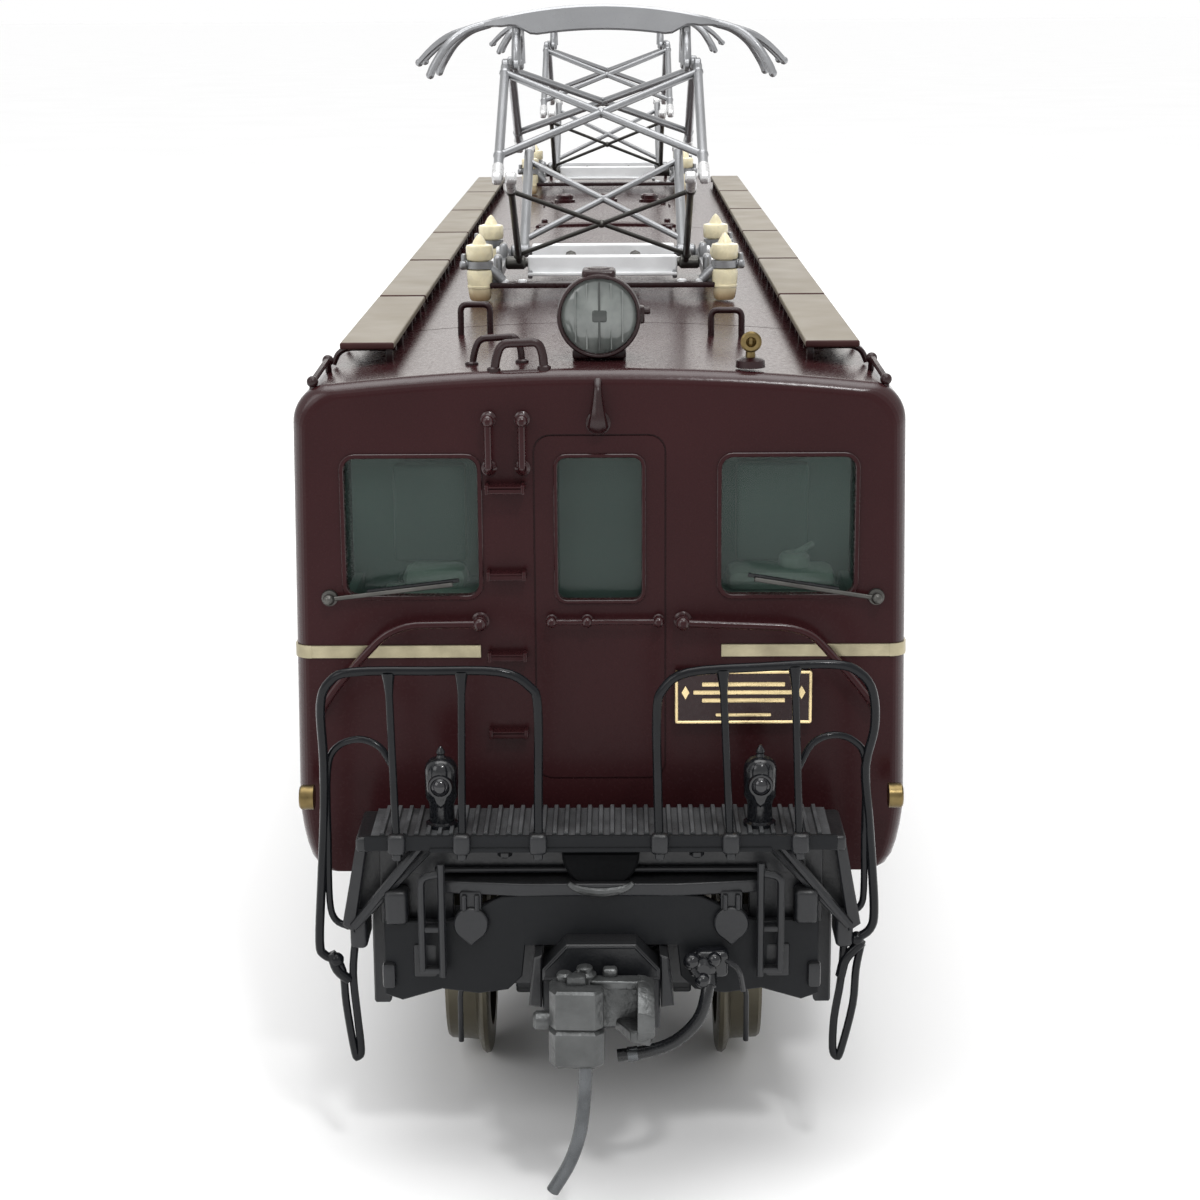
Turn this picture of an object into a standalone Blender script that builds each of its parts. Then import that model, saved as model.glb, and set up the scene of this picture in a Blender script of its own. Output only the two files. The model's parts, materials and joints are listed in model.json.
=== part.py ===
"""Model electric locomotive, scale 1:80, on 16.5 mm gauge wheels.

Every named size is in millimetres and is turned into metres when a sub-part is made.
X is across the track, -Y is the flat end, +Y the streamlined nose, +Z is up.
Z = 0 is the lowest point of the wheel flanges, Y = 0 is midway between the coupler faces.
"""
import math

import bmesh
import bpy
from mathutils import Matrix, Vector

MM = 0.001

# ---- driving dimensions, millimetres ----
RAIL_TOP = 0.9
COUPLER_FACE = 108.7
COUPLER_HEIGHT = 12.2

FACE_Y = -96.0
NOSE_TIP = 103.0
NOSE_START = 72.0
WALL = 0.8
SIDE_TOP_X = 17.4
SIDE_LOW_X = 17.8
BODY_BOTTOM = 16.7
ROOF_CROWN = 46.5
ROOF_RADIUS = 142.0
ROOF_CORNER = 2.2
FACE_ROUNDING = 0.9

WINDOW_LOW = 33.4
WINDOW_HIGH = 41.6
CAB_WINDOW_IN = 6.85
CAB_WINDOW_OUT = 14.65
DOOR_WINDOW_X = 2.5
SIDE_WINDOWS = ((-92.0, -84.5), (-71.0, -64.0), (-46.0, -39.0), (-21.0, -14.0),
                (4.0, 11.0), (29.0, 36.0), (54.0, 61.0), (66.5, 73.5))

WHEEL_BACK = 7.2
WHEEL_FACE = 10.0
FLANGE_WIDTH = 0.8
DRIVER_TREAD = 7.8
CARRIER_TREAD = 5.875
FLANGE_DEPTH = 0.9
AXLE_RADIUS = 1.0
GEAR_RADIUS = 5.0
GEAR_HALF = 1.6

FRAME_IN = 12.4
FRAME_OUT = 13.4
FRAME_TOP = 15.6
FRAME_LOW = 9.5
CROSS_LOW = 10.5
CROSS_HIGH = 13.4
WORM_Z = 15.5
WORM_RADIUS = 1.45
MOTOR_RADIUS = 4.0
MOTOR_LENGTH = 17.0
MOTOR_GAP = 4.8
FLOOR_LOW = 19.4
FLOOR_HIGH = 20.4

DECK_FRONT = -103.0
DECK_BACK = -97.8
DECK_TOP = 21.4
DECK_HALF = 12.8
RAIL_WIRE = 0.28

PANTO_HALF_BASE = 4.4
PANTO_ARM = 15.5
PANTO_RAISED = math.radians(26.4)
PANTO_BASE_Z = 48.6
LOWER_ARM_X = 5.95
UPPER_ARM_X = 6.75
HEAD_EYE_X = 6.0
HEAD_HALF = 13.0
HEAD_CROWN = 66.55
HEAD_STRIP_Y = 3.3
INSULATOR_X = 8.6
INSULATOR_Y = 8.0
INSULATOR_TIP = 51.0
PANTO_BEAM_LOW = 47.2
PANTO_BEAM_HIGH = 48.3

# One entry per motor truck: "out" points from the middle of the locomotive to its end.
TRUCKS = {
    "rear": {"out": -1, "drivers": (-59.0, -39.5, -20.0), "pivot": -49.25, "frame_end": -98.6},
    "nose": {"out": 1, "drivers": (44.0, 24.5, 5.0), "pivot": 34.25, "frame_end": 81.0},
}
PONY_AXLE = -83.5
PONY_PIVOT = -69.5
BOGIE_AXLES = (65.0, 89.0)
BOGIE_PIVOT = 77.0
PANTOGRAPHS = {"rear": -53.0, "nose": 48.0}

DRIVER_Z = RAIL_TOP + DRIVER_TREAD
CARRIER_Z = RAIL_TOP + CARRIER_TREAD

COLOURS = {
    "maroon_paint": ((0.030, 0.009, 0.011), 0.38, 0.0),
    "black_paint": ((0.012, 0.013, 0.015), 0.45, 0.0),
    "silver_paint": ((0.42, 0.42, 0.43), 0.35, 0.8),
    "green_paint": ((0.10, 0.22, 0.18), 0.7, 0.0),
    "clear_sheet": ((0.75, 0.85, 0.80), 0.08, 0.0),
    "porcelain": ((0.70, 0.64, 0.45), 0.4, 0.0),
    "brass": ((0.60, 0.42, 0.16), 0.3, 1.0),
    "steel": ((0.38, 0.37, 0.36), 0.35, 1.0),
    "grey_metal": ((0.10, 0.10, 0.105), 0.5, 0.9),
    "black_plastic": ((0.01, 0.01, 0.011), 0.5, 0.0),
}


# ---- scene and materials ----

def clear_scene():
    for old in list(bpy.data.objects):
        bpy.data.objects.remove(old, do_unlink=True)


def make_material(slot):
    colour, roughness, metallic = COLOURS[slot]
    material = bpy.data.materials.new(slot)
    material.use_nodes = True
    shader = material.node_tree.nodes["Principled BSDF"]
    shader.inputs["Base Color"].default_value = (*colour, 1.0)
    shader.inputs["Roughness"].default_value = roughness
    shader.inputs["Metallic"].default_value = metallic
    return material


# ---- simple closed shapes, in millimetres ----

def finish_shape(shape):
    bmesh.ops.recalc_face_normals(shape, faces=shape.faces)
    return shape


def box(low, high):
    shape = bmesh.new()
    bmesh.ops.create_cube(shape, size=1.0)
    size = Vector(high) - Vector(low)
    middle = (Vector(high) + Vector(low)) / 2
    bmesh.ops.scale(shape, vec=size, verts=shape.verts)
    bmesh.ops.translate(shape, vec=middle, verts=shape.verts)
    return finish_shape(shape)


def loft(rings):
    """Skin a row of equal rings and close both ends."""
    shape = bmesh.new()
    rows = [[shape.verts.new(point) for point in ring] for ring in rings]
    count = len(rows[0])
    for first, second in zip(rows, rows[1:]):
        for index in range(count):
            after = (index + 1) % count
            shape.faces.new((first[index], first[after], second[after], second[index]))
    shape.faces.new(rows[0])
    shape.faces.new(rows[-1])
    return finish_shape(shape)


def prism(outline, axis, low, high):
    """Extrude a flat outline along X, Y or Z; its two values are the other two axes in order."""
    place = {
        "X": lambda a, b, along: (along, a, b),
        "Y": lambda a, b, along: (a, along, b),
        "Z": lambda a, b, along: (a, b, along),
    }[axis]
    return loft([[place(a, b, along) for a, b in outline] for along in (low, high)])


def sweep(route, radius, sides=6):
    """A round wire along a route of points, with flat ends."""
    points = [Vector(point) for point in route]
    rings = []
    side = None
    last = None
    for index, point in enumerate(points):
        before = points[max(index - 1, 0)]
        after = points[min(index + 1, len(points) - 1)]
        ahead = (after - before).normalized()
        if side is None:
            guide = Vector((0, 0, 1)) if abs(ahead.z) < 0.9 else Vector((1, 0, 0))
            side = ahead.cross(guide).normalized()
        else:
            side = last.rotation_difference(ahead) @ side
        last = ahead
        other = ahead.cross(side)
        turn = [2 * math.pi * step / sides for step in range(sides)]
        rings.append([point + radius * (math.cos(t) * side + math.sin(t) * other) for t in turn])
    return loft(rings)


def rod(start, end, radius, sides=6):
    return sweep([start, end], radius, sides)


def turned(profile, axis, centre, sides=16):
    """Turn a profile of (place along the axis, radius) pairs about an axis through centre.

    The flats of the many-sided result, not its corners, lie at the stated radius.
    """
    rings = []
    outside = 1 / math.cos(math.pi / sides)
    for along, radius in profile:
        ring = []
        for step in range(sides):
            angle = 2 * math.pi * (step + 0.5) / sides
            a = radius * outside * math.cos(angle)
            b = radius * outside * math.sin(angle)
            offset = {"X": (along, a, b), "Y": (a, along, b), "Z": (a, b, along)}[axis]
            ring.append(Vector(centre) + Vector(offset))
        rings.append(ring)
    return loft(rings)


def smooth_route(points, steps=4):
    """Points of a smooth curve through the given points."""
    knots = [Vector(point) for point in points]
    padded = [2 * knots[0] - knots[1]] + knots + [2 * knots[-1] - knots[-2]]
    route = []
    for a, b, c, d in zip(padded, padded[1:], padded[2:], padded[3:]):
        for step in range(steps):
            t = step / steps
            route.append(0.5 * (2 * b + (c - a) * t + (2 * a - 5 * b + 4 * c - d) * t ** 2
                                + (3 * b - a - 3 * c + d) * t ** 3))
    route.append(knots[-1])
    return route


# ---- joining and cutting ----

def temporary_object(shape, collection):
    mesh = bpy.data.meshes.new("temporary")
    shape.to_mesh(mesh)
    shape.free()
    piece = bpy.data.objects.new("temporary", mesh)
    collection.objects.link(piece)
    return piece


def combine(pieces, cuts=()):
    """Join the pieces into one closed shape, then take the cuts away from it."""
    scene = bpy.context.scene.collection
    base = temporary_object(pieces[0], scene)
    helpers = [base]
    for operation, shapes in (("UNION", pieces[1:]), ("DIFFERENCE", cuts)):
        if not shapes:
            continue
        group = bpy.data.collections.new("operands")
        scene.children.link(group)
        helpers += [temporary_object(shape, group) for shape in shapes]
        modifier = base.modifiers.new(operation, "BOOLEAN")
        modifier.operation = operation
        modifier.operand_type = "COLLECTION"
        modifier.collection = group
        modifier.solver = "EXACT"
    bpy.context.view_layer.update()
    graph = bpy.context.evaluated_depsgraph_get()
    result = bmesh.new()
    result.from_mesh(base.evaluated_get(graph).to_mesh())
    for helper in helpers:
        bpy.data.objects.remove(helper, do_unlink=True)
    for group in [c for c in bpy.data.collections if c.name.startswith("operands")]:
        bpy.data.collections.remove(group)
    bmesh.ops.remove_doubles(result, verts=result.verts, dist=0.002)
    bmesh.ops.delete(result, geom=[e for e in result.edges if not e.link_faces], context="EDGES")
    bmesh.ops.delete(result, geom=[v for v in result.verts if not v.link_edges], context="VERTS")
    bmesh.ops.dissolve_limit(result, angle_limit=math.radians(0.5), verts=result.verts,
                             edges=result.edges)
    return result


# ---- bodies and sub-parts ----

BODIES = {}
MATERIALS = {}


def add_body(name, pivot, parent=None):
    """An empty on the body's joint axis, parented to the body that carries it."""
    holder = bpy.data.objects.new(name, None)
    holder.empty_display_size = 2 * MM
    bpy.context.scene.collection.objects.link(holder)
    place = Vector(pivot)
    if parent:
        holder.parent = BODIES[parent][0]
        holder.location = (place - BODIES[parent][1]) * MM
    else:
        holder.location = place * MM
    BODIES[name] = (holder, place)


def add_part(name, shape, slot, body="body", sharp=32.0):
    holder, pivot = BODIES[body]
    bmesh.ops.translate(shape, vec=-pivot, verts=shape.verts)
    bmesh.ops.scale(shape, vec=(MM, MM, MM), verts=shape.verts)
    bmesh.ops.triangulate(shape, faces=[f for f in shape.faces if len(f.verts) > 4])
    mesh = bpy.data.meshes.new(name)
    shape.to_mesh(mesh)
    shape.free()
    mesh.materials.append(MATERIALS[slot])
    mesh.shade_smooth()
    mesh.set_sharp_from_angle(angle=math.radians(sharp))
    piece = bpy.data.objects.new(name, mesh)
    bpy.context.scene.collection.objects.link(piece)
    piece.parent = holder
    return piece


# ---- body shell, glazing and cab interiors ----

def body_section(inset, narrow=1.0, low=1.0, bottom=BODY_BOTTOM):
    """Half outline of the body from its lower edge up over the roof, inset all round.

    narrow scales the width and low scales the height above the lower edge, for the nose.
    """
    top_x = (SIDE_TOP_X - inset) * narrow
    low_x = (SIDE_LOW_X - inset) * narrow
    corner = ROOF_CORNER * min(narrow, low)
    height = ROOF_CROWN - inset - BODY_BOTTOM
    crown = BODY_BOTTOM + height * low

    def roof(x):
        return crown - (x / narrow) ** 2 / (2 * ROOF_RADIUS) * low

    corner_x = top_x - corner
    corner_z = roof(corner_x) - corner
    half = [(low_x - 0.6 * narrow, bottom), (low_x, bottom + 0.9 * low)]
    for step in range(5):
        angle = math.pi / 2 * step / 4
        half.append((corner_x + corner * math.cos(angle), corner_z + corner * math.sin(angle)))
    for fraction in (0.66, 0.33):
        half.append((corner_x * fraction, roof(corner_x * fraction)))
    return half


def body_ring(y, inset, narrow=1.0, low=1.0, bottom=BODY_BOTTOM):
    half = body_section(inset, narrow, low, bottom)
    crown = BODY_BOTTOM + (ROOF_CROWN - inset - BODY_BOTTOM) * low
    outline = half + [(0.0, crown)] + [(-x, z) for x, z in reversed(half)]
    return [(x, y, z) for x, z in outline]


def nose_narrow(u):
    return max(1.0 - u ** 3, 0.0) ** (1 / 2.4)


def nose_low(u):
    return max(1.0 - 0.97 * u ** 2.2, 0.0) ** (1 / 1.9)


def body_solid(inset, bottom=BODY_BOTTOM):
    """The body as a closed solid, inset from its outer skin."""
    rings = []
    for step in range(4):
        angle = math.pi / 2 * step / 3
        shrink = FACE_ROUNDING * (1 - math.sin(angle))
        advance = FACE_ROUNDING * (1 - math.cos(angle))
        rings.append(body_ring(FACE_Y + inset + advance, inset + shrink, bottom=bottom))
    rings.append(body_ring(-25.0, inset, bottom=bottom))
    rings.append(body_ring(25.0, inset, bottom=bottom))
    length = NOSE_TIP - NOSE_START - inset
    for u in (0.0, 0.18, 0.34, 0.48, 0.6, 0.7, 0.79, 0.87, 0.93, 0.97, 0.99):
        ring = body_ring(NOSE_START + length * u, inset, nose_narrow(u), nose_low(u), bottom)
        rings.append(ring)
    return loft(rings)


def make_body():
    reach = 3.0
    windows = [box((-DOOR_WINDOW_X, FACE_Y - 1, WINDOW_LOW - 0.3),
                   (DOOR_WINDOW_X, FACE_Y + reach, WINDOW_HIGH))]
    for side in (-1, 1):
        near, far = sorted((side * CAB_WINDOW_IN, side * CAB_WINDOW_OUT))
        windows.append(box((near, FACE_Y - 1, WINDOW_LOW), (far, FACE_Y + reach, WINDOW_HIGH)))
        inner, outer = sorted((side * (SIDE_TOP_X - 2.5), side * (SIDE_LOW_X + 1)))
        for start, end in SIDE_WINDOWS:
            windows.append(box((inner, start, 34.2), (outer, end, 41.0)))
        near, far = sorted((side * 1.2, side * 8.2))
        windows.append(box((near, 84.0, 36.2), (far, 99.0, 40.6)))
    hollow = body_solid(WALL, bottom=BODY_BOTTOM - 2)
    add_part("body_shell", combine([body_solid(0.0)], [hollow] + windows), "maroon_paint")

    band = box((-30, FACE_Y - 5, WINDOW_LOW - 1.2), (30, 110, 43.0))
    outer = body_solid(WALL + 0.35, bottom=BODY_BOTTOM - 2)
    ring = keep_inside(outer, band)
    add_part("window_glazing", combine([ring], [body_solid(WALL + 0.75, bottom=5.0)]),
             "clear_sheet")

    plate_low, plate_high = 25.95, 29.1
    add_part("number_plate", box((4.3, FACE_Y - 0.7, plate_low), (12.2, FACE_Y - 0.3, plate_high)),
             "brass")


def keep_inside(shape, limit):
    """The part of a shape that lies inside a limiting solid."""
    scene = bpy.context.scene.collection
    base = temporary_object(shape, scene)
    other = temporary_object(limit, scene)
    modifier = base.modifiers.new("keep", "BOOLEAN")
    modifier.operation = "INTERSECT"
    modifier.object = other
    modifier.solver = "EXACT"
    bpy.context.view_layer.update()
    graph = bpy.context.evaluated_depsgraph_get()
    result = bmesh.new()
    result.from_mesh(base.evaluated_get(graph).to_mesh())
    bpy.data.objects.remove(base, do_unlink=True)
    bpy.data.objects.remove(other, do_unlink=True)
    return result


def make_cab(name, wall_y, toward):
    """A green cab moulding: back wall, floor, low side walls, a desk and a seat."""
    deep = 8.6 * toward
    thick = 0.7 * toward
    floor = 21.0

    def slab(x0, y0, z0, x1, y1, z1):
        return box((min(x0, x1), min(y0, y1), z0), (max(x0, x1), max(y0, y1), z1))

    half = 15.2
    pieces = [slab(-half, wall_y, floor, half, wall_y + thick, 44.2),
              slab(-half, wall_y, floor, half, wall_y + deep, floor + 0.8)]
    for side in (-1, 1):
        pieces.append(slab(side * half, wall_y, floor, side * (half - 0.6), wall_y + deep, 32.0))
    pieces.append(slab(6.5, wall_y + deep * 0.55, floor, 13.8, wall_y + deep * 0.97, 33.6))
    pieces.append(slab(-12.5, wall_y + deep * 0.2, floor, -8.5, wall_y + deep * 0.62, 29.0))
    pieces.append(slab(-12.5, wall_y + deep * 0.2, floor, -8.5, wall_y + deep * 0.3, 34.0))
    add_part(name, combine(pieces), "green_paint")


def make_floor():
    openings = []
    bosses = []
    for truck in TRUCKS.values():
        out = truck["out"]
        motor_start = truck["drivers"][0] + MOTOR_GAP * out
        motor_end = motor_start + MOTOR_LENGTH * out
        low, high = sorted((motor_start - 3 * out, motor_end + 2 * out))
        openings.append(box((-7.5, low, FLOOR_LOW - 1), (7.5, high, FLOOR_HIGH + 1)))
        bosses.append(rod((0, truck["pivot"], 17.7), (0, truck["pivot"], FLOOR_LOW + 0.5), 1.2, 12))
    plate = box((-16.5, -94.4, FLOOR_LOW), (16.5, 74.0, FLOOR_HIGH))
    add_part("floor_plate", combine([plate] + bosses, openings), "black_paint")


# ---- roof fittings ----

def roof_height(x):
    return ROOF_CROWN - x * x / (2 * ROOF_RADIUS)


def make_headlight():
    centre = (0, 0, 49.1)
    front, back = -92.9, -88.4
    shell = turned([(front, 2.35), (front + 0.7, 2.4), (front + 1.4, 2.3), (back - 1.2, 2.1),
                    (back - 0.3, 1.5), (back, 0.6)], "Y", centre, 16)
    foot = box((-1.6, -92.0, 46.8), (1.6, -89.4, 48.2))
    cap = box((-1.0, -92.3, 51.0), (1.0, -90.3, 51.8))
    bowl = turned([(front - 1, 2.2), (front + 1.3, 2.2), (front + 1.9, 1.2)], "Y", centre, 16)
    add_part("headlight_housing", combine([shell, foot, cap], [bowl]), "maroon_paint")
    lens = turned([(front - 0.25, 0.8), (front - 0.05, 1.7), (front + 0.3, 1.9), (front + 0.9, 1.9)],
                  "Y", centre, 16)
    add_part("headlight_lens", lens, "clear_sheet")


def make_whistle():
    x, y = 8.6, -94.4
    base = roof_height(x) + 0.3
    profile = [(base, 0.75), (base + 0.4, 0.7), (base + 0.5, 0.35), (base + 0.9, 0.35),
               (base + 1.0, 0.6), (base + 1.9, 0.6), (base + 2.1, 0.3)]
    add_part("whistle", turned(profile, "Z", (x, y, 0), 12), "brass")


def make_walkway(name, side):
    """Roof boards on one side: boards with small gaps between, on two stringers with feet."""
    board_low, board_high = 46.75, 47.25
    near, far = sorted((side * 12.1, side * 15.3))
    starts = [-89.5 + 24.3 * index for index in range(6)]
    pieces = []
    for start in starts:
        pieces.append(box((near, start, board_low), (far, start + 23.6, board_high)))
    for x in (12.7, 14.6):
        low, high = sorted((side * (x - 0.2), side * (x + 0.2)))
        pieces.append(box((low, starts[0] + 0.6, 46.45), (high, starts[-1] + 23.0, board_low + 0.1)))
    add_part(name, combine(pieces), "maroon_paint")


# ---- pantographs ----

def make_insulators(end, centre_y):
    """Two-bell insulators under and over the ends of the pantograph's cross beams."""
    base = roof_height(INSULATOR_X) + 0.3
    profile = [(base, 0.7), (base + 0.5, 0.85), (PANTO_BEAM_LOW - 0.1, 0.42),
               (PANTO_BEAM_HIGH + 0.3, 0.42), (PANTO_BEAM_HIGH + 0.5, 0.75),
               (PANTO_BEAM_HIGH + 1.7, 0.7), (INSULATOR_TIP, 0.15)]
    number = 1
    for along in (-1, 1):
        for side in (-1, 1):
            place = (side * INSULATOR_X, centre_y + along * INSULATOR_Y, 0)
            shape = turned(profile, "Z", place, 8)
            add_part(f"{end}_insulator_{number}", shape, "porcelain")
            number += 1


def make_panto_base(end, centre_y):
    """Two cross beams on the insulators, two side rails, and a bearing block for each shaft end."""
    beam_end = INSULATOR_X + 1.3
    pieces = []
    holes = []
    for along in (-1, 1):
        y = centre_y + along * INSULATOR_Y
        pieces.append(box((-beam_end, y - 0.8, PANTO_BEAM_LOW), (beam_end, y + 0.8, PANTO_BEAM_HIGH)))
        for side in (-1, 1):
            x = side * INSULATOR_X
            holes.append(rod((x, y, PANTO_BEAM_LOW - 1), (x, y, PANTO_BEAM_HIGH + 1), 0.72, 10))
    for side in (-1, 1):
        inner, outer = sorted((side * 7.2, side * 7.8))
        pieces.append(box((inner, centre_y - INSULATOR_Y, PANTO_BEAM_LOW + 0.1),
                          (outer, centre_y + INSULATOR_Y, PANTO_BEAM_HIGH - 0.1)))
        for along in (-1, 1):
            y = centre_y + along * PANTO_HALF_BASE
            pieces.append(box((inner, y - 0.7, PANTO_BEAM_LOW + 0.2),
                              (outer, y + 0.7, PANTO_BASE_Z + 0.6)))
    add_part(f"{end}_panto_base", combine(pieces, holes), "silver_paint")


def make_arm_frame(name, body, foot, top, half_width, wire, shafts):
    """A flat frame of two arms and its crossed braces.

    shafts gives the half length of the cross shaft at the foot and at the top; where it is 0,
    each arm ends in a short hub instead.
    """
    foot = Vector(foot)
    top = Vector(top)
    hub_half = 0.22

    def at(side, along):
        place = foot.lerp(top, along)
        return (side * half_width, place.y, place.z)

    pieces = []
    for side in (-1, 1):
        pieces.append(rod(at(side, 0.0), at(side, 1.0), wire))
        pieces.append(rod(at(side, 0.16), at(-side, 0.84), wire * 0.62))
    for along, reach in zip((0.0, 1.0), shafts):
        y, z = at(1, along)[1:]
        if reach > 0:
            pieces.append(rod((-reach, y, z), (reach, y, z), wire * 1.25))
            continue
        for side in (-1, 1):
            x = side * half_width
            pieces.append(rod((x - hub_half, y, z), (x + hub_half, y, z), wire * 1.9))
    add_part(name, combine(pieces), "silver_paint", body)


def head_height(x):
    """Top of a collector strip: a low crown that bends down into the horns."""
    return HEAD_CROWN - 0.0165 * x * x - 0.016 * max(0.0, abs(x) - 8.0) ** 2


def collector_strip(y):
    """One crowned strip: deepest in the middle, narrow and thin in its horns."""
    stations = ((5.2, 0.62, 1.8), (7.6, 0.55, 0.9), (HEAD_HALF, 0.4, 0.6))
    rings = []
    steps = 14
    for step in range(steps + 1):
        x = HEAD_HALF * (2 * step / steps - 1)
        half, deep = next((h, d) for reach, h, d in stations if abs(x) <= reach + 1e-6)
        top = head_height(x)
        rings.append([(x, y - half, top - deep), (x, y + half, top - deep),
                      (x, y + half, top), (x, y - half, top)])
    return loft(rings)


def make_panto_head(name, body, centre_y, pivot_z):
    bar_low, bar_high = 64.2, 65.2
    eye_half = 0.2
    pieces = [collector_strip(centre_y + along * HEAD_STRIP_Y) for along in (-1, 1)]
    for side in (-1, 1):
        x = side * HEAD_EYE_X
        low, high = x - eye_half, x + eye_half
        pieces.append(box((low, centre_y - HEAD_STRIP_Y - 0.3, bar_low),
                          (high, centre_y + HEAD_STRIP_Y + 0.3, bar_high)))
        for along in (-1, 1):
            foot_y = centre_y + along * PANTO_HALF_BASE
            top_y = centre_y + along * HEAD_STRIP_Y
            post = [(foot_y - 0.4, pivot_z - 0.5), (foot_y + 0.4, pivot_z - 0.5),
                    (top_y + 0.5, bar_high - 0.2), (top_y - 0.5, bar_high - 0.2)]
            pieces.append(prism(post, "X", low, high))
    add_part(name, combine(pieces), "silver_paint", body)


def make_pantograph(end, centre_y):
    make_insulators(end, centre_y)
    make_panto_base(end, centre_y)
    rise = PANTO_ARM * math.sin(PANTO_RAISED)
    reach = PANTO_ARM * math.cos(PANTO_RAISED)
    elbow_z = PANTO_BASE_Z + rise
    pivot_z = elbow_z + rise
    for place, along in (("front", -1), ("back", 1)):
        base_y = centre_y + along * PANTO_HALF_BASE
        elbow_y = base_y + along * reach
        lower = f"{end}_panto_lower_{place}"
        upper = f"{end}_panto_upper_{place}"
        add_body(lower + "_body", (0, base_y, PANTO_BASE_Z), "body")
        add_body(upper + "_body", (0, elbow_y, elbow_z), lower + "_body")
        foot, elbow, top = (0, base_y, PANTO_BASE_Z), (0, elbow_y, elbow_z), (0, base_y, pivot_z)
        make_arm_frame(lower, lower + "_body", foot, elbow, LOWER_ARM_X, 0.38, (6.9, 6.2))
        make_arm_frame(upper, upper + "_body", elbow, top, UPPER_ARM_X, 0.27, (0, 0))
    add_body(f"{end}_panto_head_body", (0, centre_y - PANTO_HALF_BASE, pivot_z),
             f"{end}_panto_upper_front_body")
    make_panto_head(f"{end}_panto_head", f"{end}_panto_head_body", centre_y, pivot_z)


# ---- wheels, motors and trucks ----

def wheelset_profile(tread, stub, geared):
    """Half profile from the left axle end to the right one."""
    left = [(-stub, 0.8), (-WHEEL_FACE, 0.8), (-WHEEL_FACE, tread - 0.1),
            (-WHEEL_BACK - FLANGE_WIDTH, tread), (-WHEEL_BACK - FLANGE_WIDTH / 2, tread + FLANGE_DEPTH),
            (-WHEEL_BACK, tread + FLANGE_DEPTH), (-WHEEL_BACK, AXLE_RADIUS)]
    if geared:
        left += [(-GEAR_HALF, AXLE_RADIUS), (-GEAR_HALF, GEAR_RADIUS)]
    return left + [(-x, r) for x, r in reversed(left)]


def make_wheelset(name, y, tread, stub, geared, truck_body, sides):
    z = RAIL_TOP + tread
    body = name + "_body"
    add_body(body, (0, y, z), truck_body)
    add_part(name, turned(wheelset_profile(tread, stub, geared), "X", (0, y, z), sides), "steel", body)


def make_motor(end, truck):
    out = truck["out"]
    start = truck["drivers"][0] + MOTOR_GAP * out
    finish = start + MOTOR_LENGTH * out
    truck_body = f"{end}_truck_body"
    profile = [(start + 0.4 * out, 1.4), (start + 0.8 * out, MOTOR_RADIUS - 0.3),
               (start + 1.2 * out, MOTOR_RADIUS), (finish - 0.6 * out, MOTOR_RADIUS),
               (finish, MOTOR_RADIUS - 0.5)]
    socket = rod((0, start - out, WORM_Z), (0, start + 6 * out, WORM_Z), 0.9, 12)
    case = combine([turned(profile, "Y", (0, 0, WORM_Z), 16)], [socket])
    add_part(f"{end}_motor_case", case, "steel", truck_body)

    inner = truck["drivers"][2] - 5 * out
    shaft = [(start + 5.5 * out, 0.6)]
    for driver in truck["drivers"]:
        shaft += [(driver + 2.4 * out, 0.6), (driver + 2.4 * out, WORM_RADIUS),
                  (driver - 2.4 * out, WORM_RADIUS), (driver - 2.4 * out, 0.6)]
    shaft.append((inner, 0.6))
    body = f"{end}_worm_shaft_body"
    add_body(body, (0, start, WORM_Z), truck_body)
    add_part(f"{end}_worm_shaft", turned(shaft, "Y", (0, 0, WORM_Z), 8), "brass", body)


def side_outline(truck):
    """Side plate seen from the side: a beam with a pedestal below it at each driving axle."""
    out = truck["out"]
    inner = truck["drivers"][2] - 10.3 * out
    end = truck["frame_end"]
    lower = [(inner, FRAME_LOW + 2)]
    for driver in reversed(truck["drivers"]):
        lower += [(driver - 4.2 * out, FRAME_LOW), (driver - 3 * out, 5.6), (driver + 3 * out, 5.6),
                  (driver + 4.2 * out, FRAME_LOW)]
    lower += [(end, FRAME_LOW), (end, FRAME_TOP), (inner, FRAME_TOP)]
    return lower


def coupler_pocket(out, front):
    """Solid and hollow of the box that a coupler's shank swings in, with its pivot pin."""
    low, high = COUPLER_HEIGHT - 1.9, COUPLER_HEIGHT + 1.9
    pivot = (COUPLER_FACE - 11.2) * out
    y0, y1 = sorted(((COUPLER_FACE - 14.2) * out, front))
    c0, c1 = sorted(((COUPLER_FACE - 13.4) * out, front + 2 * out))
    solid = box((-3.3, y0, low), (3.3, y1, high))
    hollow = box((-2.7, c0, low + 0.7), (2.7, c1, high - 0.7))
    pin = rod((0, pivot, low + 0.3), (0, pivot, high - 0.3), 0.5, 10)
    return solid, hollow, pin


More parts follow.
